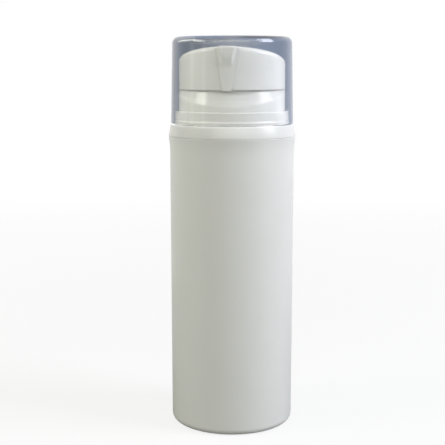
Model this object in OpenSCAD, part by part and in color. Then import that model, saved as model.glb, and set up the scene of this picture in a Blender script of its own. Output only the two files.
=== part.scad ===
// Airless pump bottle, 150 ml size, with a wide pressing head and a clear overcap.
// Millimetres. +Z is up, the foot stands on z = 0, the bottle's axis is Z and the spout faces -Y.
// Radii run outwards from the bottle: the bore sets the collar, the collar the head and the overcap.

/* [Bottle] */
// Widest diameter, at the seam between bottle and collar
shoulder_d = 50; // [46:0.5:60]
// How far the wall below the shoulder flare stands in from the widest radius
flare_in = 0.55; // [0.2:0.05:1]
// Height of the flare under the seam
flare_h = 6.5; // [4:0.5:12]
// Draft of the body, as radius lost from the flare down to the foot
body_draft = 0.25; // [0:0.05:0.6]
// Radius round the shoulder's upper edge
shoulder_edge_r = 0.45; // [0.2:0.05:0.6]
// Height of the seam above the foot
seam_z = 115.3; // [95:0.1:140]
// Wall between body and bore, measured at the foot
wall_t = 2; // [1.5:0.05:2.6]
// Radius round the foot
foot_r = 2.6; // [1:0.1:4]
// Depth of the recess under the floor
foot_recess = 0.8; // [0.4:0.1:2]
// Width of the ring that the bottle stands on
foot_ring_w = 2.2; // [1.5:0.1:4]
// Thickness of the floor
floor_t = 1.6; // [1:0.1:3]
// Radius between floor and bore
floor_r = 1; // [0.4:0.1:1.4]
// Vent hole that lets air in behind the follower
vent_d = 1.5; // [0.8:0.1:3]
// Height of the neck above the seam
neck_h = 2.9; // [2:0.1:5]
// Wall of the neck
neck_t = 1.2; // [0.9:0.1:1.6]
// Height of the snap bead on the neck
neck_bead = 0.25; // [0.1:0.05:0.4]

/* [Follower piston] */
// Overall height over both lips
follower_h = 11; // [8:0.5:16]
// Wall of the skirt
follower_t = 1.1; // [0.8:0.1:1.5]
// Depth of each lip's flare, in height
lip_h = 2.4; // [1.5:0.1:3.5]
// Crown below the upper lip's edge
crown_drop = 1.4; // [0.5:0.1:3]

/* [Collar] */
// Height of the collar's ledge above the seam, where the overcap's rim comes down
ledge_h = 4.4; // [3.5:0.1:7]
// Open joint left between collar and bottle
seam_gap = 0.1; // [0.05:0.05:0.4]
// Height of the upstand above the ledge
upstand_h = 5.4; // [4:0.1:9]
// Wall of the upstand and of the well under it
well_t = 1.05; // [0.8:0.05:1.5]
// Depth of the well's underside below the seam
well_drop = 3.3; // [2:0.1:6]
// Thickness of the well's floor
well_floor_t = 1.3; // [1:0.1:2]
// Height of the snap bead that holds the overcap
cap_bead = 0.4; // [0.2:0.05:0.6]
// Height of that bead above the ledge
cap_bead_h = 1.3; // [1.2:0.1:2.4]
// Wall of the chimney that holds the pump
chimney_t = 1.2; // [1:0.1:1.6]

/* [Pump] */
// Bore of the pump chamber
chamber_d = 11.3; // [9:0.1:13]
// Wall of the pump housing
housing_t = 1.25; // [1:0.05:1.8]
// Stroke of the head
stroke = 5; // [3:0.5:7]
// Slip of the stem in its piston, which opens and shuts the ports
port_slip = 0.8; // [0.4:0.1:1.2]
// Length of the pump piston
piston_h = 4.2; // [3:0.1:6]
// Diameter of the inlet ball
ball_d = 3; // [2.4:0.1:4]
// Lift of the inlet ball
ball_lift = 0.8; // [0.4:0.1:1.5]
// Bore under the inlet ball
inlet_d = 2; // [1.4:0.1:2.2]
// Outer diameter of the stem
stem_d = 5; // [4.6:0.1:6]
// Bore of the stem
stem_bore_d = 2.9; // [2.4:0.1:3.2]
// Thickness of the seal under the housing's flange
seal_t = 0.8; // [0.4:0.1:1.5]
// Thickness of the retaining ring's plate
ring_t = 1.2; // [1:0.1:2]

/* [Return spring] */
// Wire
wire_d = 0.9; // [0.6:0.05:1]
// Mean diameter of the coils
spring_d = 10; // [9.6:0.1:11]
// Turns, end turns included
spring_turns = 6; // [4:1:7]

/* [Head] */
// Height of the finger pad at the axis, above the seam
pad_h = 29.5; // [27:0.1:36]
// Rise of the finger pad towards the spout, per millimetre
pad_slope = 0.25; // [0.1:0.01:0.3]
// Height of the head's lower edge above the well's floor
head_lift = 10.2; // [8:0.1:14]
// Wall of the head
head_t = 1.3; // [1:0.1:1.8]
// Radius round the finger pad's edge
pad_edge_r = 2.2; // [1:0.1:3]
// Dish of the finger pad
pad_dish = 0.6; // [0.2:0.1:1]
// Upper edge of the scoop under the spout, below the pad's height at the axis
scoop_drop = 11.4; // [9:0.1:14]
// Height of the scoop
scoop_h = 7.1; // [5:0.1:8]
// Depth of the scoop under its upper edge
scoop_depth = 1.9; // [1.2:0.1:3]
// How far the scoop's axis stands behind the head's, which makes it run out to both sides
scoop_back = 2; // [1:0.1:4]
// Angle of the scoop's cone
scoop_cone = 17; // [12:1:30]
// Radius at the scoop's foot, where the cone turns upright
scoop_run_out = 5; // [3:0.5:8]

/* [Spout] */
// Height of the orifice above the pad's height at the axis
orifice_h = 1.6; // [0.8:0.1:2]
// How far the spout's face stands out from the head
spout_out = 0.85; // [0.4:0.05:1]
// Width of the spout at the top
spout_top_w = 8.4; // [7:0.1:10]
// Width of the spout at its foot
spout_foot_w = 5.4; // [4:0.1:6]
// Height of the spout's foot, below the pad's height at the axis
spout_drop = 1; // [0.5:0.1:2]
// Width of the tongue where it leaves the spout
tongue_top_w = 7.2; // [6:0.1:9]
// Width of the tongue at the scoop
tongue_foot_w = 3.8; // [3:0.1:6]
// Bore of the channel from stem to spout
channel_d = 2.2; // [1.6:0.1:2.4]
// Wall of the channel
channel_t = 0.9; // [0.8:0.1:1.2]
// Diameter of the outlet valve's face
valve_d = 3.2; // [2.6:0.1:3.6]

/* [Overcap] */
// Height of the overcap's top above the ledge
cap_h = 33.8; // [32:0.1:42]
// Wall of the overcap
cap_t = 1.4; // [1:0.1:1.8]
// Thickness of the overcap's top
cap_top_t = 1.5; // [1:0.1:2.5]
// Draft of the overcap, as radius lost from rim to top
cap_draft = 0.7; // [0.3:0.1:1.2]
// Radius round the overcap's top edge
cap_edge_r = 2.5; // [1:0.1:4]
// How far the overcap stands in from the ledge's edge
cap_inset = 0.1; // [0:0.05:0.5]

/* [Clearances] */
// Follower lips and pump piston lips in their bores, on the radius
lip_gap = 0.05; // [0.02:0.01:0.1]
// Guides that slide or turn, on the radius
guide_gap = 0.05; // [0.02:0.01:0.1]
// Overcap over the bead that holds it, on the radius
cap_gap = 0.1; // [0.05:0.05:0.2]
// Head inside the upstand, on the radius
head_gap = 0.35; // [0.25:0.05:0.6]
// Parts that are pushed together for good, on the radius
push_gap = 0.05; // [0:0.01:0.1]
// Parts that pass each other without guiding
free_gap = 0.3; // [0.2:0.05:0.6]
// Parts that seat on each other and move apart
seat_gap = 0.05; // [0.02:0.01:0.1]

/* [Hidden] */
$fn = 96;
EPS = 0.01;
EDGE = 0.25;

// Bottle
shoulder_r = shoulder_d / 2;
body_top_r = shoulder_r - flare_in;
body_foot_r = body_top_r - body_draft;
bore_r = body_foot_r - wall_t;
neck_r = bore_r + neck_t;
neck_top_z = seam_z + neck_h;
floor_z = foot_recess + floor_t;
neck_bead_z = seam_z + neck_h * 0.45;
neck_bead_low = 0.7;
neck_bead_high = 0.5;
neck_bevel = 0.4;
bore_lead = 0.8;
flare_angle = 2 * atan(flare_in / flare_h);
flare_arc_r = flare_h / sin(flare_angle);

// Follower
follower_rest = 0.2;
lip_flare = 0.75;
pocket_gap = 0.5;

// Collar: the well goes down inside the neck, the skirt goes over it
skirt_r = neck_r + guide_gap;
plug_r = bore_r - push_gap;
well_r = plug_r - well_t;
well_z = seam_z - well_drop;
well_floor_z = well_z + well_floor_t;
ledge_z = seam_z + ledge_h;
upstand_r = well_r + well_t;
upstand_top_z = ledge_z + upstand_h;
cap_bead_r = upstand_r + cap_bead;
cap_bead_z = ledge_z + cap_bead_h;
cap_bead_slope = 0.9;
cap_bead_flat = 0.3;
ledge_fillet = 0.5;
upstand_edge = 0.4;
well_fillet = 0.6;
plug_lead = 1;
cap_in_r = cap_bead_r + cap_gap;
cap_rim_r = cap_in_r + cap_t;
ledge_r = cap_rim_r + cap_inset;

// Pump, from the inlet upwards
chamber_r = chamber_d / 2;
housing_r = chamber_r + housing_t;
chimney_r = housing_r + guide_gap;
chimney_out_r = chimney_r + chimney_t;
ball_r = ball_d / 2;
pocket_r = ball_r + 0.25;
nose_bevel = 0.4;
housing_step = 1;
chamber_lead = 0.5;
inlet_r = inlet_d / 2;
nose_r = pocket_r + 1.6;
nose_len = 6.5;
nose_z = well_z - nose_len;
inlet_seat_z = nose_z + 0.7;
ball_z = inlet_seat_z - inlet_r + (ball_r + seat_gap) * sqrt(2);
chamber_floor_z = ball_z + ball_r + ball_lift + 0.1;
lug_t = 0.7;
lug_count = 3;
lug_w = 1;
lug_in_r = ball_r * 0.7;
rod_foot_t = 1.2;
rod_foot_z = chamber_floor_z + lug_t + free_gap + stroke;
piston_z = rod_foot_z + rod_foot_t + seat_gap;
stem_z = piston_z + piston_h + port_slip + seat_gap;
sleeve_z = stem_z + free_gap;
sleeve_h = 2.4;
ring_z = sleeve_z + sleeve_h;
flange_t = 1;
flange_z = ring_z - flange_t;
chimney_top_z = flange_z - seal_t;
ring_top_z = ring_z + ring_t;
ring_skirt_gap = 0.4;
ring_bead = 0.3;
ring_skirt_r = chimney_out_r + ring_skirt_gap;
ring_r = ring_skirt_r + 1;
ring_bead_z = ring_z - 4.4;
stem_r = stem_d / 2;
stem_bore_r = stem_bore_d / 2;
stem_bevel = 0.45;
rod_r = stem_bore_r;
rod_bore_r = 0.8;
rod_in_stem = 4;
rod_bevel = 0.4;
port_r = 0.45;
rod_foot_r = stem_r + 0.7;

// Head
head_r = well_r - head_gap;
head_z = well_floor_z + head_lift;
pad_z = seam_z + pad_h;
pad_angle = atan(pad_slope);
scoop_z = pad_z - scoop_drop;
scoop_low_z = scoop_z - scoop_h;
valve_z = pad_z + orifice_h;
spout_face_r = head_r + spout_out;
channel_z = valve_z - pad_slope * spout_face_r;
channel_r = channel_d / 2;
channel_out_r = channel_r + channel_t;
socket_r = stem_r + push_gap;
socket_out_r = stem_r + 1.1;
hub_r = spring_d / 2 + wire_d / 2 + 0.95;
hub_t = 1.4;
hub_z = channel_z - 3.4;
socket_z = ring_top_z + stroke + free_gap;
stem_top_z = hub_z - 0.6;
valve_r = valve_d / 2;
valve_len = 1.2;
valve_travel = 0.5;

// Overcap
cap_rest = 0.15;
cap_z = ledge_z + cap_rest;
cap_top_z = ledge_z + cap_h;
cap_top_r = cap_rim_r - cap_draft;
cap_in_edge_r = max(0.4, cap_edge_r - cap_t);
cap_lead = 0.3;

// Points of an arc in a profile, about (cr, cz), from angle a0 to angle a1
function arc(cr, cz, r, a0, a1, n = 6) =
    [for (i = [0:n]) let (a = a0 + (a1 - a0) * i / n) [cr + r * cos(a), cz + r * sin(a)]];

// Height of the finger pad's plane and of the channel's axis, at a distance in front of the axis
function pad_at(front) = pad_z + pad_slope * front;
function channel_at(front) = channel_z + pad_slope * front;

// A plain tube
module tube(r_out, r_in, z0, z1) {
    translate([0, 0, z0]) difference() {
        cylinder(r = r_out, h = z1 - z0);
        translate([0, 0, -1]) cylinder(r = r_in, h = z1 - z0 + 2);
    }
}

// Everything above a plane that lies drop below the finger pad's plane and parallel to it
module above_pad(drop) {
    translate([0, 0, pad_z - drop]) rotate([-pad_angle, 0, 0])
        translate([-2 * head_r, -2 * head_r, 0]) cube([4 * head_r, 4 * head_r, 4 * head_r]);
}

// A disc with a rounded edge that is tilted with the finger pad. It is set back and sized so that its
// edge runs into an upright wall of radius wall_r, and what lies below it widens a little.
module pad_disc(wall_r) {
    disc_r = (wall_r - pad_edge_r) / cos(pad_angle) + pad_edge_r + 3 * EPS;
    set_back = pad_edge_r * tan(pad_angle);
    flare = 2;
    low = 3 * head_r;
    translate([0, 0, pad_z]) rotate([-pad_angle, 0, 0]) translate([0, set_back, 0]) rotate_extrude()
        polygon(concat([[0, -low], [disc_r + low * tan(pad_angle + flare), -low]],
                       arc(disc_r - pad_edge_r, -pad_edge_r, pad_edge_r, pad_angle, 90, 8), [[0, 0]]));
}

// The head's outside: a round wall under the disc, which is dished in the middle
module head_block() {
    dish_r = (pow(head_r - pad_edge_r, 2) + pad_dish * pad_dish) / (2 * pad_dish);
    difference() {
        intersection() {
            translate([0, 0, head_z]) cylinder(r = head_r, h = 2 * head_r);
            pad_disc(head_r);
        }
        translate([0, 0, pad_z]) rotate([-pad_angle, 0, 0]) translate([0, 0, dish_r - pad_dish])
            sphere(r = dish_r, $fn = 240);
    }
}

// A round tool that lies along the channel, from y0 to y1 in front of the axis
module along_channel(r, y0, y1) {
    translate([0, 0, channel_z]) rotate([90 - pad_angle, 0, 0]) translate([0, 0, y0 / cos(pad_angle)])
        cylinder(r = r, h = (y1 - y0) / cos(pad_angle));
}

// Outline that tapers from w1 at z1 to w0 at z0, with its lower corners rounded
module taper(w0, z0, w1, z1, corner_r) {
    slope = (w1 - w0) / 2 / (z1 - z0);
    half = w0 / 2;
    right = concat(arc(half - corner_r, z0 + corner_r, corner_r, -90, 0, 5), [[half + slope * (z1 - z0), z1]]);
    left = [for (i = [len(right) - 1:-1:0]) [-right[i][0], right[i][1]]];
    polygon(concat(right, left));
}

// The same outline as a block that reaches forward from y0 to y1
module taper_block(w0, z0, w1, z1, corner_r, y0, y1) {
    translate([0, -y0, 0]) rotate([90, 0, 0]) linear_extrude(y1 - y0) taper(w0, z0, w1, z1, corner_r);
}

module bottle() {
    color("whitesmoke") difference() {
        rotate_extrude() polygon(concat(
            [[0, foot_recess], [body_foot_r - foot_r - foot_ring_w - foot_recess, foot_recess],
             [body_foot_r - foot_r - foot_ring_w, 0]],
            arc(body_foot_r - foot_r, foot_r, foot_r, -90, 0),
            arc(body_top_r + flare_arc_r, seam_z - shoulder_edge_r - flare_h, flare_arc_r, 180, 180 - flare_angle, 6),
            arc(shoulder_r - shoulder_edge_r, seam_z - shoulder_edge_r, shoulder_edge_r, 15, 90, 4),
            [[neck_r, seam_z], [neck_r, neck_bead_z - neck_bead_low], [neck_r + neck_bead, neck_bead_z],
             [neck_r, neck_bead_z + neck_bead_high], [neck_r, neck_top_z - neck_bevel],
             [neck_r - neck_bevel, neck_top_z], [bore_r + neck_bevel, neck_top_z],
             [bore_r, neck_top_z - bore_lead]],
            arc(bore_r - floor_r, floor_z + floor_r, floor_r, 0, -90, 4),
            [[0, floor_z]]));
        translate([0, 0, -1]) cylinder(d = vent_d, h = floor_z + 2);
    }
}

follower_z = floor_z + follower_rest;
follower_lip_r = bore_r - lip_gap;
follower_skirt_r = follower_lip_r - lip_flare;
follower_in_r = follower_skirt_r - follower_t;
pocket_wall_r = housing_r + pocket_gap;
crown_z = follower_h - crown_drop;
follower_lead = floor_r + 0.3;

// The follower: a skirt with a lip at each end, closed by a crown, with a pocket for the pump's foot
module follower_piston() {
    bevel = 0.6;
    lip_edge = 0.5;
    pocket_z = 0.6;
    pocket_top_z = pocket_z + 1.2;
    web_z = crown_z - follower_t;
    color("white") translate([0, 0, follower_z]) rotate_extrude() polygon([
        [0, pocket_z], [pocket_wall_r + 0.8, pocket_z], [pocket_wall_r + follower_t, pocket_z + 0.8],
        [pocket_wall_r + follower_t, web_z - bevel], [pocket_wall_r + follower_t + bevel, web_z],
        [follower_in_r - bevel, web_z], [follower_in_r, web_z - bevel],
        [follower_in_r, 0], [follower_skirt_r - 0.3, 0],
        [follower_lip_r - lip_edge / 2, follower_lead], [follower_lip_r, follower_lead],
        [follower_lip_r, follower_lead + lip_edge], [follower_skirt_r, follower_lead + lip_h],
        [follower_skirt_r, follower_h - lip_h], [follower_lip_r, follower_h - lip_edge],
        [follower_lip_r, follower_h], [follower_lip_r - lip_edge, follower_h],
        [follower_in_r + 0.2, crown_z], [pocket_wall_r + lip_edge, crown_z],
        [pocket_wall_r, crown_z - lip_edge], [pocket_wall_r, pocket_top_z + bevel],
        [pocket_wall_r - bevel, pocket_top_z], [0, pocket_top_z]]);
}

// The collar: a sloping skirt over the neck, a ledge and an upstand with a bead for the overcap, and a
// well inside with a chimney that holds the pump
module collar() {
    color("white") rotate_extrude() polygon(concat(
        [[skirt_r, seam_z + seam_gap]],
        arc(shoulder_r - EDGE, seam_z + seam_gap + EDGE, EDGE, -90, 0, 3),
        arc(ledge_r - EDGE, ledge_z - EDGE, EDGE, 10, 90, 3),
        arc(upstand_r + ledge_fillet, ledge_z + ledge_fillet, ledge_fillet, -90, -180, 3),
        [[upstand_r, cap_bead_z - cap_bead_slope], [cap_bead_r, cap_bead_z - cap_bead_flat],
         [cap_bead_r, cap_bead_z + cap_bead_flat / 3], [upstand_r, cap_bead_z + cap_bead_slope]],
        arc(upstand_r - upstand_edge, upstand_top_z - upstand_edge, upstand_edge, 0, 90, 3),
        arc(well_r + upstand_edge, upstand_top_z - upstand_edge, upstand_edge, 90, 180, 3),
        arc(well_r - well_fillet, well_floor_z + well_fillet, well_fillet, 0, -90, 3),
        [[chimney_out_r, well_floor_z], [chimney_out_r, ring_bead_z + 0.5],
         [chimney_out_r + ring_bead, ring_bead_z + 0.9], [chimney_out_r + ring_bead, ring_bead_z + 1.2],
         [chimney_out_r, ring_bead_z + 2], [chimney_out_r, chimney_top_z],
         [chimney_r, chimney_top_z], [chimney_r, well_z], [plug_r - plug_lead / 2, well_z],
         [plug_r, well_z + plug_lead], [plug_r, neck_top_z], [skirt_r, neck_top_z],
         [skirt_r, neck_bead_z + neck_bead_high], [skirt_r + neck_bead, neck_bead_z],
         [skirt_r, neck_bead_z - neck_bead_low]]));
}

module pump_seal() {
    color("lightgrey") tube(chimney_out_r, housing_r + guide_gap, chimney_top_z, flange_z);
}

module pump_housing() {
    color("white") {
        rotate_extrude() polygon([
            [inlet_r, nose_z], [nose_r - nose_bevel, nose_z], [nose_r, nose_z + nose_bevel],
            [nose_r, chamber_floor_z - 0.2 - 2 * housing_step],
            [housing_r - housing_step, chamber_floor_z - 0.2 - housing_step],
            [housing_r, chamber_floor_z - 0.2], [housing_r, flange_z], [chimney_out_r, flange_z],
            [chimney_out_r, ring_z], [chamber_r + chamber_lead / 2, ring_z], [chamber_r, ring_z - chamber_lead],
            [chamber_r, chamber_floor_z + nose_bevel], [chamber_r - nose_bevel, chamber_floor_z],
            [pocket_r, chamber_floor_z], [pocket_r, inlet_seat_z + pocket_r - inlet_r],
            [inlet_r, inlet_seat_z]]);
        // lugs that keep the inlet ball in its pocket
        for (i = [0:lug_count - 1]) rotate([0, 0, 90 + i * 360 / lug_count])
            translate([lug_in_r, -lug_w / 2, chamber_floor_z]) cube([pocket_r + 1.4 - lug_in_r, lug_w, lug_t]);
    }
}

module inlet_ball() {
    color("silver") translate([0, 0, ball_z]) sphere(r = ball_r);
}

module piston_rod() {
    color("white") difference() {
        rotate_extrude() polygon([
            [0, rod_foot_z], [rod_foot_r - rod_bevel, rod_foot_z], [rod_foot_r, rod_foot_z + rod_bevel],
            [rod_foot_r, rod_foot_z + rod_foot_t - rod_bevel / 2],
            [rod_foot_r - rod_bevel / 2, rod_foot_z + rod_foot_t],
            [rod_r, rod_foot_z + rod_foot_t], [rod_r, stem_z + rod_in_stem], [rod_bore_r, stem_z + rod_in_stem],
            [rod_bore_r, rod_foot_z + 0.8], [0, rod_foot_z + 0.6]]);
        // ports that the piston covers at rest
        translate([0, 0, rod_foot_z + rod_foot_t + 0.7]) rotate([0, 90, 0])
            cylinder(r = port_r, h = 4 * rod_r, center = true);
    }
}

// The piston: a hub that slips on the rod, and a thin skirt with a lip at each end
module pump_piston() {
    lip_r = chamber_r - lip_gap;
    skirt_out = lip_r - 0.45;
    skirt_in = skirt_out - 0.8;
    bore = rod_r + guide_gap;
    hub = stem_r + 0.1;
    low = piston_z;
    top = piston_z + piston_h;
    mid = piston_z + piston_h / 2;
    web = 0.5;
    bevel = 0.3;
    end = 0.1;
    color("ivory") rotate_extrude() polygon([
        [bore, low], [hub, low], [hub, mid - web], [skirt_in, mid - web], [skirt_in, low + end],
        [lip_r - bevel, low + end], [lip_r, low + bevel], [lip_r, low + bevel + web],
        [skirt_out, low + 3 * web], [skirt_out, top - 3 * web], [lip_r, top - bevel - web],
        [lip_r, top - bevel], [lip_r - bevel, top - end], [skirt_in, top - end], [skirt_in, mid + web],
        [hub, mid + web], [hub, top], [bore, top]]);
}

module stem() {
    color("white") rotate_extrude() polygon([
        [stem_bore_r, stem_z], [stem_r, stem_z], [stem_r, stem_top_z - stem_bevel],
        [stem_r - stem_bevel, stem_top_z], [channel_r, stem_top_z],
        [channel_r, stem_z + rod_in_stem + 1.2], [stem_bore_r, stem_z + rod_in_stem + 0.4]]);
}

// The retaining ring: a sleeve that guides the stem, a plate over the flange, and a skirt that snaps
// over the chimney's bead
module retaining_ring() {
    bore = stem_r + guide_gap;
    sleeve_r = chamber_r - 0.4;
    hook_r = chimney_out_r + 0.08;
    hook_h = 0.6;
    bevel = 0.3;
    color("white") rotate_extrude() polygon([
        [bore, sleeve_z], [sleeve_r - bevel, sleeve_z], [sleeve_r, sleeve_z + bevel],
        [sleeve_r, ring_z], [ring_skirt_r, ring_z], [ring_skirt_r, ring_bead_z + hook_h],
        [hook_r, ring_bead_z + hook_h / 2], [hook_r, ring_bead_z - 0.1],
        [ring_skirt_r, ring_bead_z - hook_h], [ring_r - bevel, ring_bead_z - hook_h],
        [ring_r, ring_bead_z - hook_h + bevel], [ring_r, ring_top_z - bevel], [ring_r - bevel, ring_top_z],
        [bore + bevel, ring_top_z], [bore, ring_top_z - bevel]]);
}

spring_z0 = ring_top_z;
spring_z1 = hub_z - seat_gap;
spring_rings = 12;
spring_sides = 6;
spring_count = spring_turns * spring_rings + 1;
dead_turn = 0.75;

// Rise of the wire's centre line after a number of turns: flat end turns, even pitch between them
function spring_rise(t) =
    let (live = spring_turns - 2 * dead_turn,
         end_rise = wire_d * dead_turn,
         live_rise = spring_z1 - spring_z0 - wire_d - 2 * end_rise)
    t < dead_turn ? wire_d * t
    : t > spring_turns - dead_turn ? end_rise + live_rise + wire_d * (t - dead_turn - live)
    : end_rise + live_rise * (t - dead_turn) / live;

// Ring of points round the wire after t turns
function spring_ring(t) =
    [for (k = [0:spring_sides - 1])
        let (a = 360 * t, b = 360 * k / spring_sides,
             r = spring_d / 2 + wire_d / 2 * cos(b),
             z = spring_z0 + wire_d / 2 + spring_rise(t) + wire_d / 2 * sin(b))
        [r * cos(a), r * sin(a), z]];

module return_spring() {
    rings = [for (i = [0:spring_count - 1]) spring_ring(i / spring_rings)];
    points = [for (ring = rings) for (p = ring) p];
    sides = [for (i = [0:spring_count - 2]) for (k = [0:spring_sides - 1])
        let (k2 = (k + 1) % spring_sides, a = i * spring_sides, b = a + spring_sides)
        for (face = [[a + k, b + k2, b + k], [a + k, a + k2, b + k2]]) face];
    last = (spring_count - 1) * spring_sides;
    caps = concat([for (k = [1:spring_sides - 2]) [0, k + 1, k]],
                  [for (k = [1:spring_sides - 2]) [last, last + k, last + k + 1]]);
    color("silver") polyhedron(points = points, faces = concat(sides, caps));
}

module actuator_core() {
    color("white") difference() {
        union() {
            difference() {
                translate([0, 0, socket_z]) cylinder(r = socket_out_r, h = channel_z + channel_out_r - socket_z);
                above_pad(head_t + pad_dish + free_gap);
            }
            translate([0, 0, hub_z]) cylinder(r = hub_r, h = hub_t);
            along_channel(channel_out_r, 0, core_front_y);
            translate([channel_t / 2, 0, 0]) rotate([90, 0, -90]) linear_extrude(channel_t)
                polygon([[0, hub_z], [hub_r, hub_z], [core_front_y - 1, channel_at(core_front_y - 1)],
                         [0, channel_z]]);
        }
        translate([0, 0, socket_z - 1]) cylinder(r = socket_r, h = stem_top_z - socket_z + 1);
        translate([0, 0, stem_top_z - 1]) cylinder(r = channel_r, h = channel_z - stem_top_z + 1);
        along_channel(channel_r, 0, core_front_y + 1);
        along_channel(tip_plug_r + push_gap, core_front_y - tip_plug_l - 0.2, core_front_y + 1);
    }
}

core_front_y = head_r - head_t - 0.6;
tip_plug_l = 3;
tip_plug_r = channel_r + 0.55;
boss_t = 1.2;
boss_h = 20;
rib_t = 1;
rib_angles = [30, 90, 150, 210, 330];

// The scoop: undercut below its upper edge, then a cone that runs out into the wall. Its axis stands
// behind the head's, so that it is deepest in front and runs out to a crescent's tips at both sides.
module scoop(extra) {
    far_r = head_r + scoop_back;
    foot = arc(far_r - scoop_run_out + EPS, scoop_low_z, scoop_run_out, scoop_cone, 0, 5);
    translate([0, scoop_back, 0]) rotate_extrude() polygon(concat(
        [[far_r + 2, scoop_z + extra], [far_r - scoop_depth - extra, scoop_z + extra]],
        [for (p = foot) [p[0] - extra, p[1] - extra]],
        [[far_r + 2, scoop_low_z - extra]]));
}

module head_shell() {
    color("white") difference() {
        head_block();
        // the hollow, with the wall kept behind the scoop, and the boss and ribs that carry the core
        difference() {
            translate([0, 0, head_z - 1]) cylinder(r = head_r - head_t, h = 2 * head_r);
            above_pad(head_t + pad_dish);
            scoop(head_t);
            boss();
        }
        // the channel lies in a groove under the pad
        along_channel(channel_out_r + guide_gap, 0, head_r - head_t + EPS);
        scoop(0);
        spout_notch();
    }
}

// Boss under the pad: it holds the core's hub, and ribs tie it to the wall
module boss() {
    difference() {
        union() {
            translate([0, 0, hub_z]) cylinder(r = hub_r + push_gap + boss_t, h = boss_h);
            for (a = rib_angles) rotate([0, 0, a])
                translate([hub_r + push_gap + boss_t / 2, -rib_t / 2, hub_z + 1])
                    cube([head_r - hub_r - 1, rib_t, boss_h]);
        }
        translate([0, 0, hub_z - 1]) cylinder(r = hub_r + push_gap, h = hub_t + 1);
        translate([0, 0, hub_z]) cylinder(r = hub_r - 1, h = boss_h);
        // way for the channel
        translate([-channel_out_r - free_gap, -head_r, hub_z - 1])
            cube([2 * (channel_out_r + free_gap), head_r, boss_h]);
    }
}

spout_top_z = pad_at(head_r) + 1;
spout_foot_z = pad_z - spout_drop;
spout_corner_r = 1.6;
tongue_corner_r = 0.8;
tongue_z = scoop_z - 0.4;
tongue_proud = 0.12;
tongue_t = head_t;
tip_top_drop = 0.1;

// The tongue's outline, grown by gap, as a block from y0 to y1 in front of the axis
module tongue_block(gap, y0, y1) {
    top_w = tongue_foot_w + (tongue_top_w - tongue_foot_w) * (spout_top_z - tongue_z) / (spout_foot_z - tongue_z);
    taper_block(tongue_foot_w + 2 * gap, tongue_z - gap, top_w + 2 * gap, spout_top_z + gap,
                tongue_corner_r + gap, y0, y1);
}

// Notch through the front wall that takes the nozzle tip; its back is as round as the tongue's
module spout_notch() {
    difference() {
        tongue_block(push_gap, head_r - 2 * tongue_t, head_r + 3);
        cylinder(r = head_r - tongue_t - push_gap, h = 2 * pad_z);
    }
}

module nozzle_tip() {
    color("white") difference() {
        intersection() {
            union() {
                intersection() {
                    tongue_block(0, head_r - 3, head_r + 1);
                    tube(head_r + tongue_proud, head_r - tongue_t, scoop_z - 1, spout_top_z + 2);
                    pad_disc(head_r + tongue_proud);
                }
                intersection() {
                    taper_block(spout_foot_w, spout_foot_z, spout_top_w, spout_top_z, spout_corner_r,
                                head_r - tongue_t, spout_face_r);
                    cylinder(r = spout_face_r + 0.4, h = 2 * pad_z);
                }
                along_channel(tip_plug_r, core_front_y - tip_plug_l, head_r - 0.6);
            }
            // the top follows the finger pad and rounds off over the face
            translate([0, 0, -tip_top_drop]) pad_disc(spout_face_r + 0.4);
        }
        along_channel(channel_r - 0.3, 0, head_r - 0.8);
        from_face(valve_r + guide_gap, valve_len + valve_travel + seat_gap, -1);
    }
}

// A round tool from the spout's face inwards, on the orifice's axis, that starts a little outside
module from_face(r, depth, start) {
    translate([0, start - spout_face_r, valve_z]) rotate([-90, 0, 0]) cylinder(r = r, h = depth - start);
}

module outlet_valve() {
    color("gainsboro") {
        from_face(valve_r, valve_len, 0.1);
    }
}

module overcap() {
    color("lightsteelblue", 0.35) rotate_extrude() polygon(concat(
        arc(cap_in_r + cap_lead, cap_z + cap_lead, cap_lead, 180, 270, 3),
        arc(cap_rim_r - EDGE, cap_z + EDGE, EDGE, -90, 0, 3),
        arc(cap_top_r - cap_edge_r, cap_top_z - cap_edge_r, cap_edge_r, 0, 90, 8),
        [[0, cap_top_z], [0, cap_top_z - cap_top_t]],
        arc(cap_top_r - cap_t - cap_in_edge_r, cap_top_z - cap_top_t - cap_in_edge_r, cap_in_edge_r, 90, 0, 5)));
}

bottle();
follower_piston();
collar();
pump_seal();
pump_housing();
inlet_ball();
piston_rod();
pump_piston();
stem();
retaining_ring();
return_spring();
actuator_core();
head_shell();
nozzle_tip();
outlet_valve();
overcap();
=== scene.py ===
"""Looks of an airless pump bottle: white moulded polypropylene under a clear overcap.

The visible mouldings and the return spring are rebuilt here as smooth surfaces worked out with
numpy. Each stands for the CAD node that it covers, and most take their outer size and height from
it. The other inner parts stay CAD nodes and only get their materials. Sizes are in millimetres,
and points become metres when they go into a mesh.
"""

import logging
import math
from dataclasses import dataclass, field
from enum import Enum
from functools import cached_property

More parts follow.
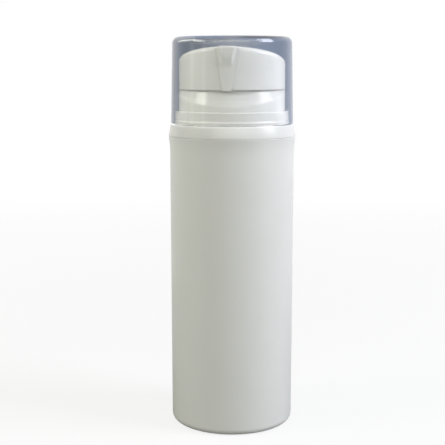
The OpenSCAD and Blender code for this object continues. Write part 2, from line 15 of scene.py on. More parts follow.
import bmesh
import bpy
import numpy as np
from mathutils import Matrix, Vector

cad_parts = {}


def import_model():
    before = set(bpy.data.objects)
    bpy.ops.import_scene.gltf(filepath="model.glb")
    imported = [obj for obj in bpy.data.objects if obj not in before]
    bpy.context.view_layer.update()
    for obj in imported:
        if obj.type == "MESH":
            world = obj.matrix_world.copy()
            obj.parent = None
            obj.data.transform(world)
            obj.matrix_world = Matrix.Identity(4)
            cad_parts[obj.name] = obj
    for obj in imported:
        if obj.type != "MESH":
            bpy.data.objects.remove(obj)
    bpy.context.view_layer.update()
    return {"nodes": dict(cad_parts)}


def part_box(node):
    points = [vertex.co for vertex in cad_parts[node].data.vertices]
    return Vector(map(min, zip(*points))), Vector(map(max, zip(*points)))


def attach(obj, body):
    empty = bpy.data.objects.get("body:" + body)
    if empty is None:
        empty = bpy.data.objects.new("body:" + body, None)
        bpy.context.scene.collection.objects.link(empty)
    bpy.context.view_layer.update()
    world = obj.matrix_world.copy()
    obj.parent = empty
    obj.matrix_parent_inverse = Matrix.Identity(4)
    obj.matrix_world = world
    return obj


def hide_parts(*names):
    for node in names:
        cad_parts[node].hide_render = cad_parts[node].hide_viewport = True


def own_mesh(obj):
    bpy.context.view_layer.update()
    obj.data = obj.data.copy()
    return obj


LOG = logging.getLogger("airless_bottle")
MM = 0.001
# Rise of the finger pad towards the front, in head and nozzle tip.
PAD_SLOPE = 0.25

Tree = bpy.types.NodeTree
Socket = bpy.types.NodeSocket
# Points in millimetres, and quads of point numbers.
Surface = tuple[np.ndarray, np.ndarray]
# Places along a colour ramp with their linear colours.
Stops = tuple[tuple[float, tuple[float, float, float]], ...]


# Shapes

# Lengths in millimetres under which a divisor, a step of an outline and a corner's radius count as none.
TINY = 1e-9
SAME_POINT = 1e-5
NO_RADIUS = 1e-6
# Half angle above which a corner is straight, and turn under which an arc is one point.
STRAIGHT = math.radians(89.9)
NO_TURN = 1e-3
# Distances in metres under which points of a mesh are one, and an edge has no length.
SAME_VERTEX = 2e-7
NO_EDGE = 1e-7
# Radius in millimetres of a loop that stands for a point.
POINT = 1e-4


class Sharpness(Enum):
    """Angle in degrees above which an edge is shaded as a sharp one."""

    SOFT = 50.0
    CRISP = 32.0


def rounded(points: list[tuple[float, float, float]], closed: bool = False, steps: int = 8) -> np.ndarray:
    """Outline with a rounded corner at each point.

    Every corner becomes an arc that touches both sides: the arc's centre lies on the corner's
    bisector, and its points are the great-circle blend of the two directions from that centre.

    Args:
        points: (radius from the axis, height, corner radius), all in millimetres.
        closed: whether the last point joins the first.
        steps: points along each arc, less one.

    Returns:
        Array of shape (n, 2) with the outline's points in order, without doubles.
    """
    p = np.array(points, float)
    xy, radius = p[:, :2], p[:, 2].copy()
    before, after = np.roll(xy, 1, 0), np.roll(xy, -1, 0)
    if not closed:
        radius[[0, -1]] = 0
        before[0], after[-1] = xy[0] * 2 - xy[1], xy[-1] * 2 - xy[-2]
    u, v = before - xy, after - xy
    u /= np.linalg.norm(u, axis=1, keepdims=True)
    v /= np.linalg.norm(v, axis=1, keepdims=True)
    half = np.arccos(np.clip((u * v).sum(1), -1, 1)) / 2
    radius = np.where(half > STRAIGHT, 0, radius)
    reach = (radius / np.maximum(np.tan(half), TINY))[:, None]
    bisector = u + v
    bisector /= np.maximum(np.linalg.norm(bisector, axis=1, keepdims=True), TINY)
    centre = xy + bisector * (radius / np.maximum(np.sin(half), TINY))[:, None]
    a, b = xy + u * reach - centre, xy + v * reach - centre
    turn = math.pi - 2 * half
    s = np.linspace(0, 1, steps + 1)[None, :]
    safe = np.where(turn < NO_TURN, 1, turn)[:, None]
    wa, wb = np.sin((1 - s) * safe) / np.sin(safe), np.sin(s * safe) / np.sin(safe)
    arcs = centre[:, None] + a[:, None] * wa[..., None] + b[:, None] * wb[..., None]
    arcs = np.where((radius > NO_RADIUS)[:, None, None], arcs, xy[:, None])
    out = arcs.reshape(-1, 2)
    keep = np.r_[True, np.linalg.norm(np.diff(out, axis=0), axis=1) > SAME_POINT]
    out = out[keep]
    if closed and np.linalg.norm(out[0] - out[-1]) < SAME_POINT:
        out = out[:-1]
    return out


def grid_faces(rows: int, columns: int, wrap_rows: bool, wrap_columns: bool) -> np.ndarray:
    """Quads of a grid of points that are stored row by row.

    Args:
        rows: number of rows of points.
        columns: number of points in each row.
        wrap_rows: whether the last row joins the first.
        wrap_columns: whether each row closes on itself.

    Returns:
        Array of shape (quads, 4) of point numbers.
    """
    r = np.arange(rows if wrap_rows else rows - 1)
    c = np.arange(columns if wrap_columns else columns - 1)
    r, c = (m.ravel() for m in np.meshgrid(r, c, indexing="ij"))
    r2, c2 = (r + 1) % rows, (c + 1) % columns
    return np.stack([r * columns + c, r * columns + c2, r2 * columns + c2, r2 * columns + c], 1)


def mesh_object(name: str, points: np.ndarray, faces: np.ndarray, sharp: Sharpness) -> bpy.types.Object:
    """Object from points in millimetres and quads, with doubled points merged and faces turned out.

    Args:
        name: name of the piece.
        points: array of shape (n, 3).
        faces: array of shape (m, 4).
        sharp: how edges are shaded.

    Returns:
        The object, at the origin.
    """
    mesh = bpy.data.meshes.new(name)
    mesh.from_pydata((points * MM).tolist(), [], faces.tolist())
    bm = bmesh.new()
    bm.from_mesh(mesh)
    bmesh.ops.remove_doubles(bm, verts=bm.verts, dist=SAME_VERTEX)
    bmesh.ops.dissolve_degenerate(bm, edges=bm.edges, dist=NO_EDGE)
    bmesh.ops.recalc_face_normals(bm, faces=bm.faces)
    bm.to_mesh(mesh)
    bm.free()
    mesh.shade_smooth()
    mesh.set_sharp_from_angle(angle=math.radians(sharp.value))
    mesh.update()
    obj = bpy.data.objects.new(name, mesh)
    bpy.context.scene.collection.objects.link(obj)
    return obj


def revolve(outline: np.ndarray, closed: bool, count: int = 192) -> Surface:
    """Surface of an outline turned about the Z axis.

    A point at angle a is (radius sin a, -radius cos a, height). A point of the outline that lies
    on the axis becomes a pole, because its doubled points are merged afterwards.

    Args:
        outline: array of shape (n, 2) of radius and height in millimetres.
        closed: whether the outline joins its own start, as for a ring.
        count: number of columns round the axis.

    Returns:
        Points and quads.
    """
    angle = np.arange(count) * (2 * math.pi / count)
    r, z = outline[:, :1], outline[:, 1:]
    points = np.stack([r * np.sin(angle), -r * np.cos(angle), z + 0 * angle], -1).reshape(-1, 3)
    return points, grid_faces(len(outline), count, closed, True)


def sweep(path: np.ndarray, radius: float, sides: int) -> Surface:
    """Round wire along a path round the Z axis.

    Each ring of the wire lies in the plane of the axis and the path's point: the ring's point at
    angle b is the path's point, moved out by radius cos b and up by radius sin b.

    Args:
        path: array of shape (n, 3) in millimetres.
        radius: radius of the wire in millimetres.
        sides: points round the wire.

    Returns:
        Points and quads; both ends run to a point on the path.
    """
    b = np.arange(sides) * (2 * math.pi / sides)
    away = path[:, :2] / np.linalg.norm(path[:, :2], axis=1, keepdims=True)
    ring = np.concatenate([[0.0], np.full(len(path), radius), [0.0]])
    p = np.vstack([path[:1], path, path[-1:]])
    a = np.vstack([away[:1], away, away[-1:]])
    out = ring[:, None] * np.cos(b)
    up = ring[:, None] * np.sin(b)
    points = np.stack([p[:, :1] + a[:, :1] * out, p[:, 1:2] + a[:, 1:] * out, p[:, 2:] + up], -1)
    return points.reshape(-1, 3), grid_faces(len(p), sides, False, True)


# Materials

# Settings of the sums that most node trees here use.
TIMES = {".operation": "MULTIPLY"}
OVER_HALF = {".operation": "GREATER_THAN", 1: 0.5}
UNDER_HALF = {".operation": "LESS_THAN", 1: 0.5}


def linear(code: str) -> tuple[float, float, float, float]:
    """Linear RGBA of an sRGB hex code."""
    c = np.array([int(code[i : i + 2], 16) for i in (1, 3, 5)]) / 255
    c = np.where(c <= 0.04045, c / 12.92, ((c + 0.055) / 1.055) ** 2.4)
    return (float(c[0]), float(c[1]), float(c[2]), 1.0)


def add(tree: Tree, kind: str, settings: dict | None = None, links: dict | None = None) -> bpy.types.Node:
    """Adds one node.

    Args:
        tree: the tree it goes into.
        kind: the node's type, such as ShaderNodeBsdfPrincipled.
        settings: values by socket name or number, or by attribute name with a dot before it.
        links: output sockets that feed its inputs, by input name or number.

    Returns:
        The new node.
    """
    node = tree.nodes.new(kind)
    for key, value in (settings or {}).items():
        if isinstance(key, str) and key.startswith("."):
            setattr(node, key[1:], value)
        else:
            node.inputs[key].default_value = value
    for key, source in (links or {}).items():
        tree.links.new(source, node.inputs[key])
    return node


def new_material(name: str) -> tuple[bpy.types.Material, Tree, Socket]:
    """Empty node material.

    Args:
        name: what the real material is.

    Returns:
        The material, its node tree, and the place on the piece as an output for its textures.
    """
    material = bpy.data.materials.new(name)
    material.use_nodes = True
    material.node_tree.nodes.clear()
    where = add(material.node_tree, "ShaderNodeTexCoord").outputs["Object"]
    return material, material.node_tree, where


@dataclass(frozen=True)
class MouldedPlastic:
    """Injection-moulded plastic, or rubber: an even colour under a skin that copies the mould.

    Attributes:
        name: what the real material is.
        colour: sRGB code of the plastic.
        shade: sRGB code of the plastic where the skin is thinner or handled.
        roughness: mean roughness of the skin.
        spread: how far the roughness varies over the piece.
        grain_mm: size of the mould's texture.
        grain: depth of that texture, from 0 to 1.
        wave_mm: size of the slow waves that shrinkage leaves.
        ior: refractive index.
        glow: share of the light that goes into the plastic and comes out beside it.
        deep_mm: how far that light spreads.
    """

    name: str
    colour: str
    shade: str
    roughness: float
    spread: float = 0.05
    grain_mm: float = 0.35
    grain: float = 0.05
    wave_mm: float = 14.0
    ior: float = 1.49
    glow: float = 0.0
    deep_mm: float = 1.2

    def build(self) -> bpy.types.Material:
        """Node material of this finish."""
        material, tree, where = new_material(self.name)
        slow = {"Scale": 1 / (self.wave_mm * MM), "Detail": 2.0, "Roughness": 0.45}
        wave = add(tree, "ShaderNodeTexNoise", slow, {"Vector": where}).outputs["Fac"]
        fine = {"Scale": 1 / (self.grain_mm * MM), "Detail": 3.0, "Roughness": 0.55}
        grain = add(tree, "ShaderNodeTexNoise", fine, {"Vector": where}).outputs["Fac"]
        colours = {".data_type": "RGBA", 6: linear(self.colour), 7: linear(self.shade)}
        tint = add(tree, "ShaderNodeMix", colours, {0: wave}).outputs[2]
        low, high = self.roughness - self.spread, self.roughness + self.spread
        ends = {"From Min": 0.3, "From Max": 0.7, "To Min": low, "To Max": high}
        rough = add(tree, "ShaderNodeMapRange", ends, {"Value": wave}).outputs["Result"]
        deep = {"Strength": 0.05, "Distance": 0.1 * MM}
        waved = add(tree, "ShaderNodeBump", deep, {"Height": wave}).outputs["Normal"]
        deep = {"Strength": self.grain, "Distance": 0.06 * MM}
        skin = add(tree, "ShaderNodeBump", deep, {"Height": grain, "Normal": waved}).outputs["Normal"]
        inner = {
            "IOR": self.ior,
            "Subsurface Weight": self.glow,
            "Subsurface Radius": (1.0, 0.9, 0.8),
            "Subsurface Scale": self.deep_mm * MM,
        }
        outer = {"Base Color": tint, "Roughness": rough, "Normal": skin}
        shader = add(tree, "ShaderNodeBsdfPrincipled", inner, outer).outputs["BSDF"]
        add(tree, "ShaderNodeOutputMaterial", links={"Surface": shader})
        return material


@dataclass(frozen=True)
class ClearPlastic:
    """Polished clear styrene acrylonitrile. It refracts what stands behind it and lets lamps through.

    Attributes:
        name: what the real material is.
        colour: sRGB code of what a wall lets through.
        roughness: roughness of the polished skin.
        ior: refractive index.
        haze: roughness that handling marks add.
        haze_mm: size of those marks.
        wave_mm: size of the waves in the wall.
        lamp_share: linear colour of lamplight behind one skin.
        trapped: number of bounces after which light leaves the wall straight, instead of ending there
            as a black line.
    """

    name: str
    colour: str
    roughness: float
    ior: float
    haze: float = 0.002
    haze_mm: float = 4.0
    wave_mm: float = 18.0
    lamp_share: tuple[float, float, float] = (0.91, 0.895, 0.895)
    trapped: float = 5.5

    def build(self) -> bpy.types.Material:
        """Node material of this finish; faint waves and handling marks move its reflections."""
        material, tree, where = new_material(self.name)
        slow, fine = {"Scale": 1 / (self.wave_mm * MM)}, {"Scale": 1 / (self.haze_mm * MM)}
        wave = add(tree, "ShaderNodeTexNoise", slow | {"Detail": 1.0}, {"Vector": where}).outputs["Fac"]
        marks = add(tree, "ShaderNodeTexNoise", fine | {"Detail": 4.0}, {"Vector": where}).outputs["Fac"]
        low, high = self.roughness, self.roughness + self.haze
        ends = {"From Min": 0.45, "From Max": 0.75, "To Min": low, "To Max": high}
        rough = add(tree, "ShaderNodeMapRange", ends, {"Value": marks}).outputs["Result"]
        deep = {"Strength": 0.06, "Distance": 0.1 * MM}
        skin = add(tree, "ShaderNodeBump", deep, {"Height": wave}).outputs["Normal"]
        glass = {"Base Color": linear(self.colour), "IOR": self.ior, "Transmission Weight": 1.0}
        bends = add(tree, "ShaderNodeBsdfPrincipled", glass, {"Roughness": rough, "Normal": skin})
        straight = add(tree, "ShaderNodeBsdfTransparent", {"Color": (*self.lamp_share, 1)})
        path = add(tree, "ShaderNodeLightPath").outputs
        over = {".operation": "GREATER_THAN", 1: self.trapped}
        caught = add(tree, "ShaderNodeMath", over, {0: path["Ray Depth"]}).outputs[0]
        shadow = {0: path["Is Shadow Ray"], 1: caught}
        either = add(tree, "ShaderNodeMath", {".operation": "MAXIMUM"}, shadow).outputs[0]
        ways = {0: either, 1: bends.outputs["BSDF"], 2: straight.outputs["BSDF"]}
        mixed = add(tree, "ShaderNodeMixShader", links=ways).outputs["Shader"]
        add(tree, "ShaderNodeOutputMaterial", links={"Surface": mixed})
        return material


@dataclass(frozen=True)
class DrawnSteel:
    """Spring wire: bright steel with fine marks of the die along the wire.

    Attributes:
        name: what the real material is.
        colour: sRGB code of the metal.
        roughness: mean roughness.
        spread: how far the roughness varies.
        marks_mm: size of the die's marks.
    """

    name: str
    colour: str
    roughness: float
    spread: float = 0.08
    marks_mm: float = 0.3

    def build(self) -> bpy.types.Material:
        """Node material of this finish."""
        material, tree, where = new_material(self.name)
        fine = {"Scale": 1 / (self.marks_mm * MM), "Detail": 3.0}
        marks = add(tree, "ShaderNodeTexNoise", fine, {"Vector": where}).outputs["Fac"]
        ends = {"To Min": self.roughness - self.spread, "To Max": self.roughness + self.spread}
        rough = add(tree, "ShaderNodeMapRange", ends, {"Value": marks}).outputs["Result"]
        deep = {"Strength": 0.1, "Distance": 0.02 * MM}
        skin = add(tree, "ShaderNodeBump", deep, {"Height": marks}).outputs["Normal"]
        metal = {"Base Color": linear(self.colour), "Metallic": 1.0}
        shader = add(tree, "ShaderNodeBsdfPrincipled", metal, {"Roughness": rough, "Normal": skin})
        add(tree, "ShaderNodeOutputMaterial", links={"Surface": shader.outputs["BSDF"]})
        return material


# The body comes from a satin mould, so lamps only show on it as broad soft bands.
BODY_PP = MouldedPlastic("polypropylene_white_satin", "#F1F1EE", "#ECECE8", 0.36, grain=0.12, glow=0.1)
# Head and spout come from a polished mould: lamps show as clear-edged bars.
HEAD_PP = MouldedPlastic(
    "polypropylene_white_gloss", "#F2F2F0", "#EDEDEA", 0.16, 0.02, grain=0.02, glow=0.1, deep_mm=2.0
)
# The collar's mould is a little less polished, so its highlights are softer.
COLLAR_PP = MouldedPlastic(
    "polypropylene_white_collar", "#F2F2F0", "#EDEDEA", 0.2, 0.03, grain=0.04, glow=0.1
)
# Polypropylene without pigment: milky, a little waxy.
NATURAL_PP = MouldedPlastic("polypropylene_natural", "#E4E4DD", "#DADAD2", 0.3, glow=0.3)
# Low-density polyethylene of both pistons: softer and waxier still.
NATURAL_PE = MouldedPlastic("polyethylene_natural", "#E9E7DC", "#DEDCD0", 0.42, glow=0.3, ior=1.51)
# Nitrile rubber of the pump's seal: dark grey, matt and grainy.
SEAL_RUBBER = MouldedPlastic("nitrile_rubber_moulded", "#4A4B4D", "#3E3F41", 0.62, grain=0.3, ior=1.52)
# Silicone of the outlet valve: pale, and light goes some way into it.
VALVE_SILICONE = MouldedPlastic(
    "silicone_translucent_moulded", "#EDEDEC", "#E4E4E2", 0.32, glow=0.25, ior=1.41
)
# Drawn stainless steel: grey and bright, streaked by the die.
SPRING_STEEL = DrawnSteel("stainless_steel_drawn", "#B9B9B6", 0.28)
# Polished styrene acrylonitrile: water-clear, with sharp reflections and edges that bend the view.
CLEAR_SAN = ClearPlastic("styrene_acrylonitrile_clear", "#F8F9F8", 0.001, 1.57)


# Pieces


@dataclass
class Piece:
    """One visible moulding, placed where its CAD node is.

    Attributes:
        name: name of the object.
        node: CAD node that it covers.
        body: body that it rides on.
        slot: the record's material slot for the piece; not used.
        finish: its material.
        sharp: how its edges are shaded.
    """

    name: str
    node: str
    body: str
    slot: str
    finish: MouldedPlastic | ClearPlastic | DrawnSteel
    sharp: Sharpness = Sharpness.CRISP

    def surface(self) -> Surface:
        """Points in millimetres and quads. Each moulding gives its own."""
        raise NotImplementedError

    def place(self) -> bpy.types.Object:
        """Builds the piece, dresses it and puts it in its CAD node's place.

        Returns:
            The finished object.
        """
        points, faces = self.surface()
        obj = mesh_object(self.name, points, faces, self.sharp)
        obj.data.materials.append(self.finish.build())
        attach(obj, self.body)
        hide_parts(self.node)
        LOG.info("%s: %d faces", self.name, len(obj.data.polygons))
        return obj


def size_of(node: str) -> tuple[float, float, float]:
    """Outer radius, lowest and highest point of a round CAD node, in millimetres."""
    low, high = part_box(node)
    return (high.x - low.x) / 2 / MM, low.z / MM, high.z / MM


@dataclass
class BodyShell(Piece):
    """The bottle: a straight wall that flares out to the seam, a rounded foot and a neck.

    Attributes:
        flare_in: how far the top of the straight wall stands inside the shoulder's radius.
        flare_h: height over which it flares out to that radius.
        draft: how far the foot stands inside the top of the straight wall.
        wall: thickness of the wall at the foot.
        foot_r: radius of the rounded foot.
        ring_w: width of the ring that the bottle stands on.
        recess: height of the hollow under the floor.
        floor: thickness of the floor.
        neck_h: height of the neck over the seam.
        neck_t: thickness of the neck.
        edge: radius of the shoulder's edge.
        vent_r: radius of the vent in the floor.
    """

    flare_in: float = 0.55
    flare_h: float = 6.5
    draft: float = 0.25
    wall: float = 2.0
    foot_r: float = 2.6
    ring_w: float = 2.2
    recess: float = 0.8
    floor: float = 1.6
    neck_h: float = 2.9
    neck_t: float = 1.2
    edge: float = 0.45
    vent_r: float = 0.75

    def surface(self) -> Surface:
        """Closed outline, from the vent hole round the outside and back, turned about the axis.

        The flare is an arc that starts along the wall and ends at the seam: it turns by twice the
        angle whose tangent is flare_in / flare_h, and its radius is flare_h / sin of that turn.
        """
        shoulder, foot_z, neck_z = size_of(self.node)
        seam = neck_z - self.neck_h
        top_r = shoulder - self.flare_in
        foot = top_r - self.draft
        bore = foot - self.wall
        neck = bore + self.neck_t
        turn = 2 * math.atan(self.flare_in / self.flare_h)
        flare_r = self.flare_h / math.sin(turn)
        start = seam - self.edge - self.flare_h
        corner = start + flare_r * math.tan(turn / 2)
        inner_ring = foot - self.foot_r - self.ring_w
        outline = rounded(
            [
                (self.vent_r, self.recess, 0.1),
                (inner_ring - self.recess, self.recess, 0.5),
                (inner_ring, foot_z, 0.4),
                (foot, foot_z, self.foot_r),
                (top_r, corner, flare_r),
                (shoulder, seam, self.edge),
                (neck, seam, 0.1),
                (neck, neck_z, 0.3),
                (bore, neck_z, 0.3),
                (bore, self.recess + self.floor, 1.0),
                (self.vent_r, self.recess + self.floor, 0.1),
            ],
            closed=True,
            steps=12,
        )
        return revolve(outline, True)


@dataclass
class CollarRing(Piece):
    """The collar: a sloping skirt over the neck, the overcap's ledge, a beaded upstand and a well.

    Attributes:
        skirt_in: inner radius of the skirt.
        skirt_edge: radius of the skirt's lower edge.
        ledge_r: outer radius of the ledge.
        ledge_above: height of the ledge over the seam.
        upstand_r: outer radius of the upstand.
        upstand_t: thickness of the upstand.
        bead: how far the bead stands out of the upstand.
        bead_z: height of the bead over the ledge.
        bead_half: half the bead's height.
        well_drop: how far the well's underside lies below the seam.
        well_floor: thickness of the well's floor.
        chimney_in: inner radius of the chimney in the well.
        chimney_out: its outer radius.
        chimney_top: height of its top.
        neck_top: height over the seam of the groove for the bottle's neck.
    """

    skirt_in: float = 23.45
    skirt_edge: float = 0.03
    ledge_r: float = 24.15
    ledge_above: float = 4.4
    upstand_r: float = 22.15
    upstand_t: float = 1.05
    bead: float = 0.4
    bead_z: float = 1.3
    bead_half: float = 0.75
    well_drop: float = 3.3
    well_floor: float = 1.3
    chimney_in: float = 6.95
    chimney_out: float = 8.15
    chimney_top: float = 122.99
    neck_top: float = 2.9

    def surface(self) -> Surface:
        """Closed outline turned about the axis; the well and the chimney follow the CAD node."""
        shoulder, well, top = size_of(self.node)
        seam = well + self.well_drop
        ledge = seam + self.ledge_above
        up, inner = self.upstand_r, self.upstand_r - self.upstand_t
        bead_z = ledge + self.bead_z
        well_z = well + self.well_floor
        outline = rounded(
            [
                (self.skirt_in, seam, 0),
                (shoulder, seam, self.skirt_edge),
                (self.ledge_r, ledge, 0.3),
                (up, ledge, 0.35),
                (up, bead_z - self.bead_half, 0.2),
                (up + self.bead, bead_z, 0.45),
                (up, bead_z + self.bead_half, 0.4),
                (up, top, 0.38),
                (inner, top, 0.38),
                (inner, well_z, 0.6),
                (self.chimney_out, well_z, 0.3),
                (self.chimney_out, self.chimney_top, 0.1),
                (self.chimney_in, self.chimney_top, 0.1),
                (self.chimney_in, well, 0.1),
                (up, well, 0.7),
                (up, seam + self.neck_top, 0),
                (self.skirt_in, seam + self.neck_top, 0),
            ],
            closed=True,
            steps=6,
        )
        return revolve(outline, True, count=256)


@dataclass
class ClearCap(Piece):
    """The overcap: a drafted clear cup with a rounded top edge and a wall that bends the view.

    Attributes:
        wall: thickness of the wall.
        top: thickness of the top.
        draft: how far the top stands inside the rim.
        edge_r: radius of the top edge outside.
        inner_edge_r: radius of the top edge inside.
        lead_in: bevel inside the rim.
    """

    wall: float = 1.4
    top: float = 1.5
    draft: float = 0.7
    edge_r: float = 2.5
    inner_edge_r: float = 1.1
    lead_in: float = 0.3

    def surface(self) -> Surface:
        """Outline from the pole inside, down the bore, round the rim, up the outside to the outer pole."""
        rim, low, high = size_of(self.node)
        top_r = rim - self.draft
        inner = rim - self.wall
        outline = rounded(
            [
                (0, high - self.top, 0),
                (top_r - self.wall, high - self.top, self.inner_edge_r),
                (inner, low + self.lead_in, 0.3),
                (inner + self.lead_in, low, 0.1),
                (rim, low, 0.25),
                (top_r, high, self.edge_r),
                (0, high, 0),
            ],
            steps=16,
        )
        return revolve(outline, False, count=320)


def on_pad(front: np.ndarray, base: float) -> np.ndarray:
    """Height of the sloping finger pad's plane at a distance in front of the axis, with base at the axis."""
    return base + PAD_SLOPE * front


@dataclass
class HeadCover(Piece):
    """The head: a round wall under a dished pad that rises to the front, with a scoop and a notch.

    Attributes:
        pad_z: height of the pad's plane at the axis.
        edge_r: radius of the round between pad and wall.
        edge_from: angle in degrees at which that round's rows start.
        dish: depth of the pad's hollow.
        wall: thickness of the wall.
        hem: size of the bevel at the wall's foot.
        scoop_top: height of the lip over the scoop.
        scoop_low: height of the scoop's foot.
        scoop_depth: how far the cutting cone goes in at the lip.
        scoop_back: how far the cone's axis stands behind the head's.
        run_out: radius of the arc in which the scoop ends at its foot.
        cone: angle of the cone in degrees.
        corner: radius of the hollow corner under the lip.
        corner_most: how much of the scoop's depth that corner may fill.
        lip_above: how far over the lip the wall's last row lies.
        lip_edge: the lip's rows, each with its distance inwards and up.
        crowding: power that gathers the scoop's rows near the lip.
        notch_in: radius of the notch's floor.
        notch_low: height of the notch's foot.
        notch_foot: half width of the notch at its foot.
        notch_spread: half width gained per millimetre upwards.
        columns: number of columns outside the notch.
        notch_columns: number of columns on each side in the notch.
        next_column: place of one more column beside the notch's edge, which is at 1.
        pad_rows: number of rows from the pad's centre to its edge.
        edge_rows: number of rows round the pad's edge.
        wall_rows: number of even rows between the pad's edge and the lip.
        last_row: place of one more row just over the lip, as a share of that wall.
        scoop_rows: number of rows down the scoop.
        foot_rows: number of rows from the scoop to the foot.
        arc_steps: number of points along the arc at the scoop's foot.
        read_steps: number of heights from which the scoop's foot is read off.
    """

    pad_z: float = 144.8
    edge_r: float = 2.2
    edge_from: float = 88.0
    dish: float = 0.6
    wall: float = 1.3
    hem: float = 0.2
    scoop_top: float = 133.4
    scoop_low: float = 126.3
    scoop_depth: float = 1.9
    scoop_back: float = 2.0
    run_out: float = 5.0
    cone: float = 17.0
    corner: float = 0.6
    corner_most: float = 0.6
    lip_above: float = 0.12
    lip_edge: tuple[tuple[float, float], ...] = ((0.05, 0.03), (0.16, 0.0))
    crowding: float = 1.6
    notch_in: float = 19.4
    notch_low: float = 132.95
    notch_foot: float = 1.95
    notch_spread: float = 0.1574
    columns: int = 288
    notch_columns: int = 12
    next_column: float = 1.003
    pad_rows: int = 14
    edge_rows: int = 12
    wall_rows: int = 8
    last_row: float = 0.985
    scoop_rows: int = 24
    foot_rows: int = 5
    arc_steps: int = 24
    read_steps: int = 200

    @cached_property
    def radius(self) -> float:
        """Radius of the head's wall, from its CAD node."""
        return size_of(self.node)[0]

    @cached_property
    def shares(self) -> np.ndarray:
        """Place of every column: 0 at the front, 1 and -1 at the notch's edges, pi and -pi at the back.

        Two columns follow each edge of the notch, one in it and one just outside, and a third
        stands close to them.
        """
        outside = 1 + np.linspace(0, 1, self.columns // 2 + 1)[1:] * (math.pi - 1)
        inside = np.linspace(0, 1, self.notch_columns + 1)
        half = np.r_[inside, 1 + TINY, self.next_column, outside]
        half = np.unique(np.round(half, 9))
        return np.r_[-half[::-1], half[1:]]

    def cone_radius(self, z: np.ndarray) -> np.ndarray:
        """Radius of the scoop's cutting cone about its own axis.

        It grows downwards at the cone's angle, then along an arc that ends upright at the scoop's foot.
        """
        foot_r = self.radius + self.scoop_back
        a = np.radians(np.linspace(0, self.cone, self.arc_steps))
        arc_r = foot_r - self.run_out * (1 - np.cos(a))
        arc_z = self.scoop_low + self.run_out * np.sin(a)
        return np.interp(z, np.r_[arc_z, self.scoop_top], np.r_[arc_r, foot_r - self.scoop_depth])

    def angles(self, z: np.ndarray) -> np.ndarray:
        """Angle of every column at height z.

        In the notch it is a share of the notch's half angle at that height: arcsin(half width over
        radius). Outside it spreads evenly over what is left.
        """
        width = self.notch_foot + self.notch_spread * np.maximum(z - self.notch_low, 0)
        half = np.arcsin(width / self.radius)
        size = np.abs(self.shares)
        spread = half + (size - 1) / (math.pi - 1) * (math.pi - half)
        return np.sign(self.shares) * np.where(size <= 1, size * half, spread)

    def surface(self) -> Surface:
        """Grid of rows from the pad's centre out, down the wall, under the head and back up inside.

        The scoop's surface at angle a and height z is where the ray meets the cutting cone:
        root(R(z)^2 - back^2 sin^2 a) - back cos a, and the wall starts again where that passes the wall.
        """
        radius, (_, low, _) = self.radius, size_of(self.node)
        in_notch = np.abs(self.shares) <= 1.0
        count = len(in_notch)
        rows: list[tuple[np.ndarray, np.ndarray, np.ndarray]] = []

        def push(r: np.ndarray | float, z: np.ndarray, a: np.ndarray) -> None:
            """Keeps one row of points, cut back where it crosses the notch."""
            cut = in_notch & (z > self.notch_low)
            top = on_pad(self.notch_in * np.cos(a), self.pad_z)
            z = np.where(cut & (r > self.notch_in), np.minimum(z, top), z)
            rows.append((np.where(cut, np.minimum(r, self.notch_in), r), z, a))

        # pad and the round to the wall
        rim = radius - self.edge_r
        a = self.angles(np.full(count, self.pad_z + PAD_SLOPE * radius))
        for r in np.linspace(0, rim, self.pad_rows):
            dip = self.dish * (1 - (r / rim) ** 2)
            push(r, on_pad(r * np.cos(a), self.pad_z) - dip, a)
        for phi in np.radians(np.linspace(self.edge_from, 0, self.edge_rows)):
            r = rim + self.edge_r * math.cos(phi)
            drop = self.edge_r * (1 - math.sin(phi))
            a = self.angles(on_pad(r * np.cos(a), self.pad_z) - drop)
            push(r, on_pad(r * np.cos(a), self.pad_z) - drop, a)

        # wall down to the lip
        shoulder = on_pad(radius * np.cos(a), self.pad_z) - self.edge_r
        for t in np.r_[np.linspace(0, 1, self.wall_rows + 2)[1:-1], self.last_row, 1.0]:
            z = shoulder + (self.scoop_top + self.lip_above - shoulder) * t
            push(radius, z, self.angles(z))

        # lip and scoop, down to where each column meets the wall again
        z = np.full(count, self.scoop_top)
        a = self.angles(z)
        reach = np.sqrt(radius**2 + 2 * radius * self.scoop_back * np.cos(a) + self.scoop_back**2)
        heights = np.linspace(self.scoop_top, self.scoop_low, self.read_steps)
        cross = np.interp(reach, self.cone_radius(heights), heights)
        depth = np.maximum(0, reach - self.cone_radius(np.array(self.scoop_top)))
        for inwards, up in self.lip_edge:
            push(radius - np.minimum(inwards, depth), z + up, a)
        for t in np.linspace(0, 1, self.scoop_rows) ** self.crowding:
            z = self.scoop_top + (cross - self.scoop_top) * t
            near = self.corner - np.clip(self.scoop_top - z, 0, self.corner)
            fill = self.corner - np.sqrt(self.corner**2 - near**2)
            cone = self.cone_radius(z) + np.minimum(fill, depth * self.corner_most)
            a = self.angles(z)
            r = np.sqrt(cone**2 - (self.scoop_back * np.sin(a)) ** 2) - self.scoop_back * np.cos(a)
            push(np.minimum(np.where(depth > 0, r, radius), radius), z, a)

        # wall down to the foot
        last = z
        for t in np.linspace(0, 1, self.foot_rows + 1)[1:]:
            z = last + (low + self.hem - last) * t
            push(radius, z, self.angles(z))
        a = self.angles(np.full(count, low))
        push(radius - self.hem, np.full(count, low), a)
        push(radius - self.wall, np.full(count, low), a)

